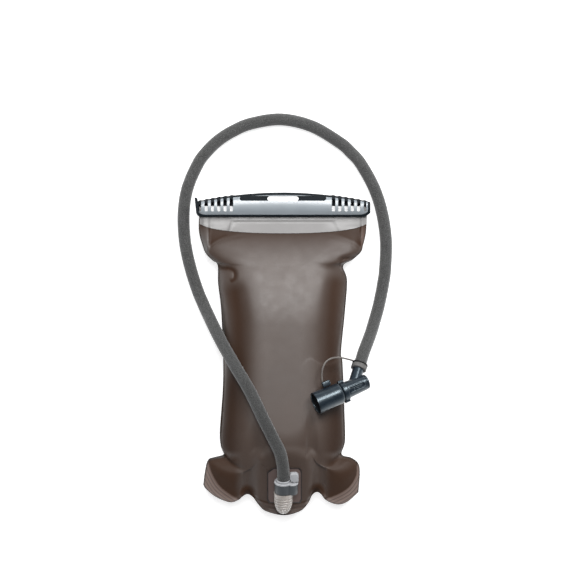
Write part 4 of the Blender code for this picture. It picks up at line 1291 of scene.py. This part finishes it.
def build_button(mats, turn, centre):
    """Release button: a round stem on its spring, and a thumb pad that faces the front."""
    stem = [(0, -6.0), (1.2, -6.0), (1.2, -3.4), (2.5, -3.4), (2.5, 4.0), (0, 4.0)]
    button = turned("release_button_shell", stem, mats["silver"], turn, 48, centre)
    left, right, foot, crown = 7.45, 17.2, 1.8, 12.2
    outer, inner = 3.6, 2.2             # radii of its crown's two corners
    bends = [(math.cos(math.radians(a)), math.sin(math.radians(a))) for a in range(0, 91, 15)]
    outline = [(left + 1.0, foot), (right, foot), (right, crown - outer)]
    outline += [(right - outer * (1 - c), crown - outer * (1 - s)) for c, s in bends[1:]]
    outline += [(left + inner * (1 - s), crown - inner * (1 - c)) for c, s in bends]
    outline += [(left, 5.2), (left + 1.0, 4.2)]
    near, far = centre[1] - 3.4, centre[1] + 2.6
    pad = loft("pad", [[(x, y, z) for x, z in outline] for y in (near, far)], None, turn)
    bevel_edges(pad, 0.9, segments=3)
    cut(button, pad, operation='UNION')
    stand_in(button, "button", "release_button")


def build_spring(mats, turn, centre):
    """Wire coil under the button's stem."""
    low, high, radius, wire, turns, steps = -10.3, -4.1, 1.9, 0.3, 5, 120
    line = []
    for k in range(steps + 1):
        angle = TAU * turns * k / steps
        line.append(turn @ Vector((centre[0] + radius * math.cos(angle),
                                   centre[1] + radius * math.sin(angle),
                                   low + wire + (high - low - 2 * wire) * k / steps)))
    spring = sweep("button_spring_coil", line, wire, mats["steel"], sides=10)
    stand_in(spring, "bag", "button_spring")
    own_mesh(spring)


def hose_line():
    """Middle line of the hose, straight out of the plug and straight onto the valve's stub."""
    exit_point = PORT_FACE + HOSE_DIR * 2.5
    out = STUB_DIR.normalized()
    junction = VALVE_END + VALVE_DIR * STUB_JOIN
    route = [exit_point, exit_point + HOSE_DIR * 8] + [Vector(p) for p in HOSE_ROUTE]
    route += [junction + out * 48, junction + out * 36, junction + out * HOSE_END]
    return catmull_rom(route, 8)


def declare_cord(line):
    """Route of a loose cord between two fittings, at every fourth point of its line, and its
    length; neither is kept.
    """
    path = [tuple(p * MM) for p in line[::4] + line[-1:]]
    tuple(path[0])
    round(path_length(line) * MM, 3)


def build_hose(mats):
    line = evenly(hose_line(), 420)
    hose = sweep("hose_sleeve", line, HOSE_R, mats["hose"], sides=32)
    stand_in(hose, "hose", "drinking_hose")
    declare_cord(line)


def build_tether(mats):
    """Thin cord that bends between the cap it hangs on and the loop round the hose."""
    line = evenly(catmull_rom(TETHER_ROUTE, 12), 90)
    tether = sweep("cap_tether_cord", line, TETHER_R, mats["cord"], sides=14)
    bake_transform(tether)
    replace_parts(tether, "cap_tether")
    declare_cord(line)


# ---------------------------------------- bite valve
def valve_matrix():
    """Frame of the valve: local +Z to the mouth, local +Y towards the cap's lug."""
    up = (LUG_DIR - VALVE_DIR * LUG_DIR.dot(VALVE_DIR)).normalized()
    turn = Matrix((up.cross(VALVE_DIR), up, VALVE_DIR)).transposed()
    return Matrix.Translation(VALVE_END) @ turn.to_4x4()


def facing_camera(turn):
    """Angle round local Z, in the frame, of the side that faces straight up."""
    up = turn.to_3x3().inverted() @ Vector((0, 0, 1))
    return math.atan2(up.y, up.x)


def build_elbow(mats, turn):
    """Valve body: a turned barrel with the hose's stub at an angle, bored through."""
    stub = (turn.to_3x3().inverted() @ STUB_DIR).normalized()
    join = Vector((0, 0, STUB_JOIN))
    spigot, groove, end = 6.6, 5.5, 38.0
    body = rounded([(0, 2.0), (8.6, 2.0), (8.9, 10), (9.6, 25), (9.6, 26), (spigot, 26)], 0.6)
    body += [(spigot, 34.3), (groove, 34.3), (groove, 36.1), (spigot, 36.1), (spigot, end),
             (0, end)]
    elbow = turned("valve_elbow_shell", body, mats["valve"], turn, 72)
    cut(elbow, rod("stub", join, join + stub * STUB_LENGTH, 6.4, turn, 48), operation='UNION')
    cut(elbow, turned("bore", column(3.6, 9, 44), None, turn, 40),
        rod("inlet", join, join + stub * 30, 3.6, turn))
    stand_in(elbow, "hose", "valve_elbow")
    build_elbow_relief(mats, turn)


def build_elbow_relief(mats, turn):
    """Raised loop on the barrel's front, and two short grips inside it."""
    facing = facing_camera(turn) + RIB_TURN

    def on_barrel(across, along, lift):
        """Point on the barrel, from a distance round it and one along it."""
        radius = 8.6 + 0.05 * along + lift
        angle = facing + across / 9.0
        return turn @ Vector((radius * math.cos(angle), radius * math.sin(angle), along))

    half, far, near, steps = 2.7, 24.5, 8.5, 12
    loop = [(-half, s) for s in np.linspace(far, near, steps)]
    loop += [(-half * math.cos(math.pi * k / steps), near - half * math.sin(math.pi * k / steps))
             for k in range(1, steps)]
    loop += [(half, s) for s in np.linspace(near, far, steps)]
    line = [on_barrel(across, along, 0.4) for across, along in loop]
    rides(sweep("elbow_rib", line, 1.0, mats["valve"], sides=12), "hose")
    for k, across in enumerate((-0.75, 0.75)):
        line = [on_barrel(across, along, 0.2) for along in np.linspace(9.5, 20.5, steps)]
        grip = sweep(f"elbow_grip_{k + 1}", line, 0.5, mats["valve"], sides=10)
        rides(grip, "hose")


def build_valve(mats):
    turn = valve_matrix()
    build_elbow(mats, turn)
    end = rounded([(0, -1.2), (5.5, -1.2), (7.4, -0.7), (8.3, 0.4), (8.4, 1.6), (0, 1.6)], 0.3)
    stand_in(turned("elbow_end_cap_shell", end, mats["valve"], turn, 64),
             "hose", "elbow_end_cap")

    low, high = 26.3, 33.0
    rim = rounded([(6.9, low), (10.9, low), (11.4, low + 0.9), (11.4, high - 1.5),
                   (10.2, high - 0.2), (6.9, high)], 0.5)
    twist = turned("shutoff_ring_shell", rim, mats["valve"], turn, 72)
    for side in (-1, 1):
        lug = [(-3.4, side * 8.0), (3.4, side * 8.0), (3.1, side * 12.4), (2.4, side * 13.1),
               (-2.4, side * 13.1), (-3.1, side * 12.4)]
        cut(twist, prism("lug", lug, low + 0.8, high - 0.5, None, turn), operation='UNION')
    stand_in(twist, "shutoff", "shutoff_ring")

    nozzle = [(6.9, 33.3), (10.0, 33.3), (10.0, 39.0), (9.2, 41.5), (7.8, 43.6), (7.5, 46),
              (7.2, 54.0), (6.8, 56.5), (6.0, 58.5), (4.9, 59.8), (3.5, 60.5), (1.8, 60.9),
              (0, 61.0), (0, 58.6), (3.0, 58.0), (3.6, 54), (3.6, 40.0), (6.9, 38.4)]
    stand_in(turned("bite_nozzle_shell", nozzle, mats["silicone"], turn, 64),
             "shutoff", "bite_nozzle")
    build_cap(mats, turn)

    junction = VALVE_END + VALVE_DIR * STUB_JOIN
    hose_end = local_frame(junction, STUB_DIR.normalized())
    ribbed = [(8.7 + 0.22 * math.cos(TAU * k / 6.0), 24.3 + 4.6 * k / 24) for k in range(25)]
    band = [(7.4, HOSE_END), (8.3, HOSE_END)] + ribbed + [(8.3, 29.3), (7.4, 29.3)]
    stand_in(turned("hose_end_band", band, mats["hose_collar"], hose_end, 56),
             "hose", "hose_end_collar")
    stand_in(turned("tether_loop_ring", ring(8.2, 0.95, 30.8), mats["loop"], hose_end, 56),
             "hose", "tether_loop")


def build_cap(mats, turn):
    """Dust cap, open-looking at its end, with a knob on its side that the tether hangs on."""
    low, high, well = 33.5, 65.7, 2.9
    outer = [(10.5, low), (10.9, low), (11.6, low + 0.7), (11.95, low + 1.7), (12.05, 38.0),
             (12.1, 45.0), (12.5, 56), (13.0, high - 1.0), (12.8, high - 0.2), (12.3, high),
             (11.6, high - 0.15), (11.3, high - 0.8)]
    inner = [(11.1, high - well), (0, high - well), (0, high - well - 1.0),
             (11.3, high - well - 1.0), (10.6, 42.0)]
    cap = turned("dust_cap_shell", outer + inner, mats["valve"], turn, 84)
    cap.data.materials.append(mats["valve_hollow"])
    axis = turn.to_3x3() @ Vector((0, 0, 1))
    for face in cap.data.polygons:
        place = turn.inverted() @ (face.center / MM)
        in_well = place.z > high - well - 0.1 and math.hypot(place.x, place.y) < 11.3
        if in_well and face.normal.dot(axis) > -0.2:
            face.material_index = 1
    stand_in(cap, "cap", "dust_cap")

    knob = prism("cap_lug_shell", rounded_box(-2.8, 2.8, 12.6, 19.0, 1.2, 4), 40.7, 50.3,
                 mats["valve"], turn)
    bevel_edges(knob, 2.2, segments=5)
    stand_in(knob, "cap", "cap_lug")


# ---------------------------------------- all of it
def finish_cad_nodes(mats):
    """Looks for the small hard parts that are shown as they are."""
    looks = {"rail_front": "rail", "rail_back": "rail", "port_flange": "clear",
             "hose_plug": "clear", "plug_seal": "seal", "valve_seal": "seal"}
    for name, look in looks.items():
        mesh = frame["nodes"][name].data
        mesh.materials.clear()
        mesh.materials.append(mats[look])


def main():
    mats = build_materials()
    build_stage()
    grid, z, cuts = build_bag_skins(mats)
    build_collar(mats, surface_height(grid, z))
    build_mouth(mats)
    build_channel(mats)
    build_cover(mats)
    build_port(mats)
    declare_films(cuts)
    build_valve(mats)
    finish_cad_nodes(mats)
    build_hose(mats)
    build_tether(mats)


main()
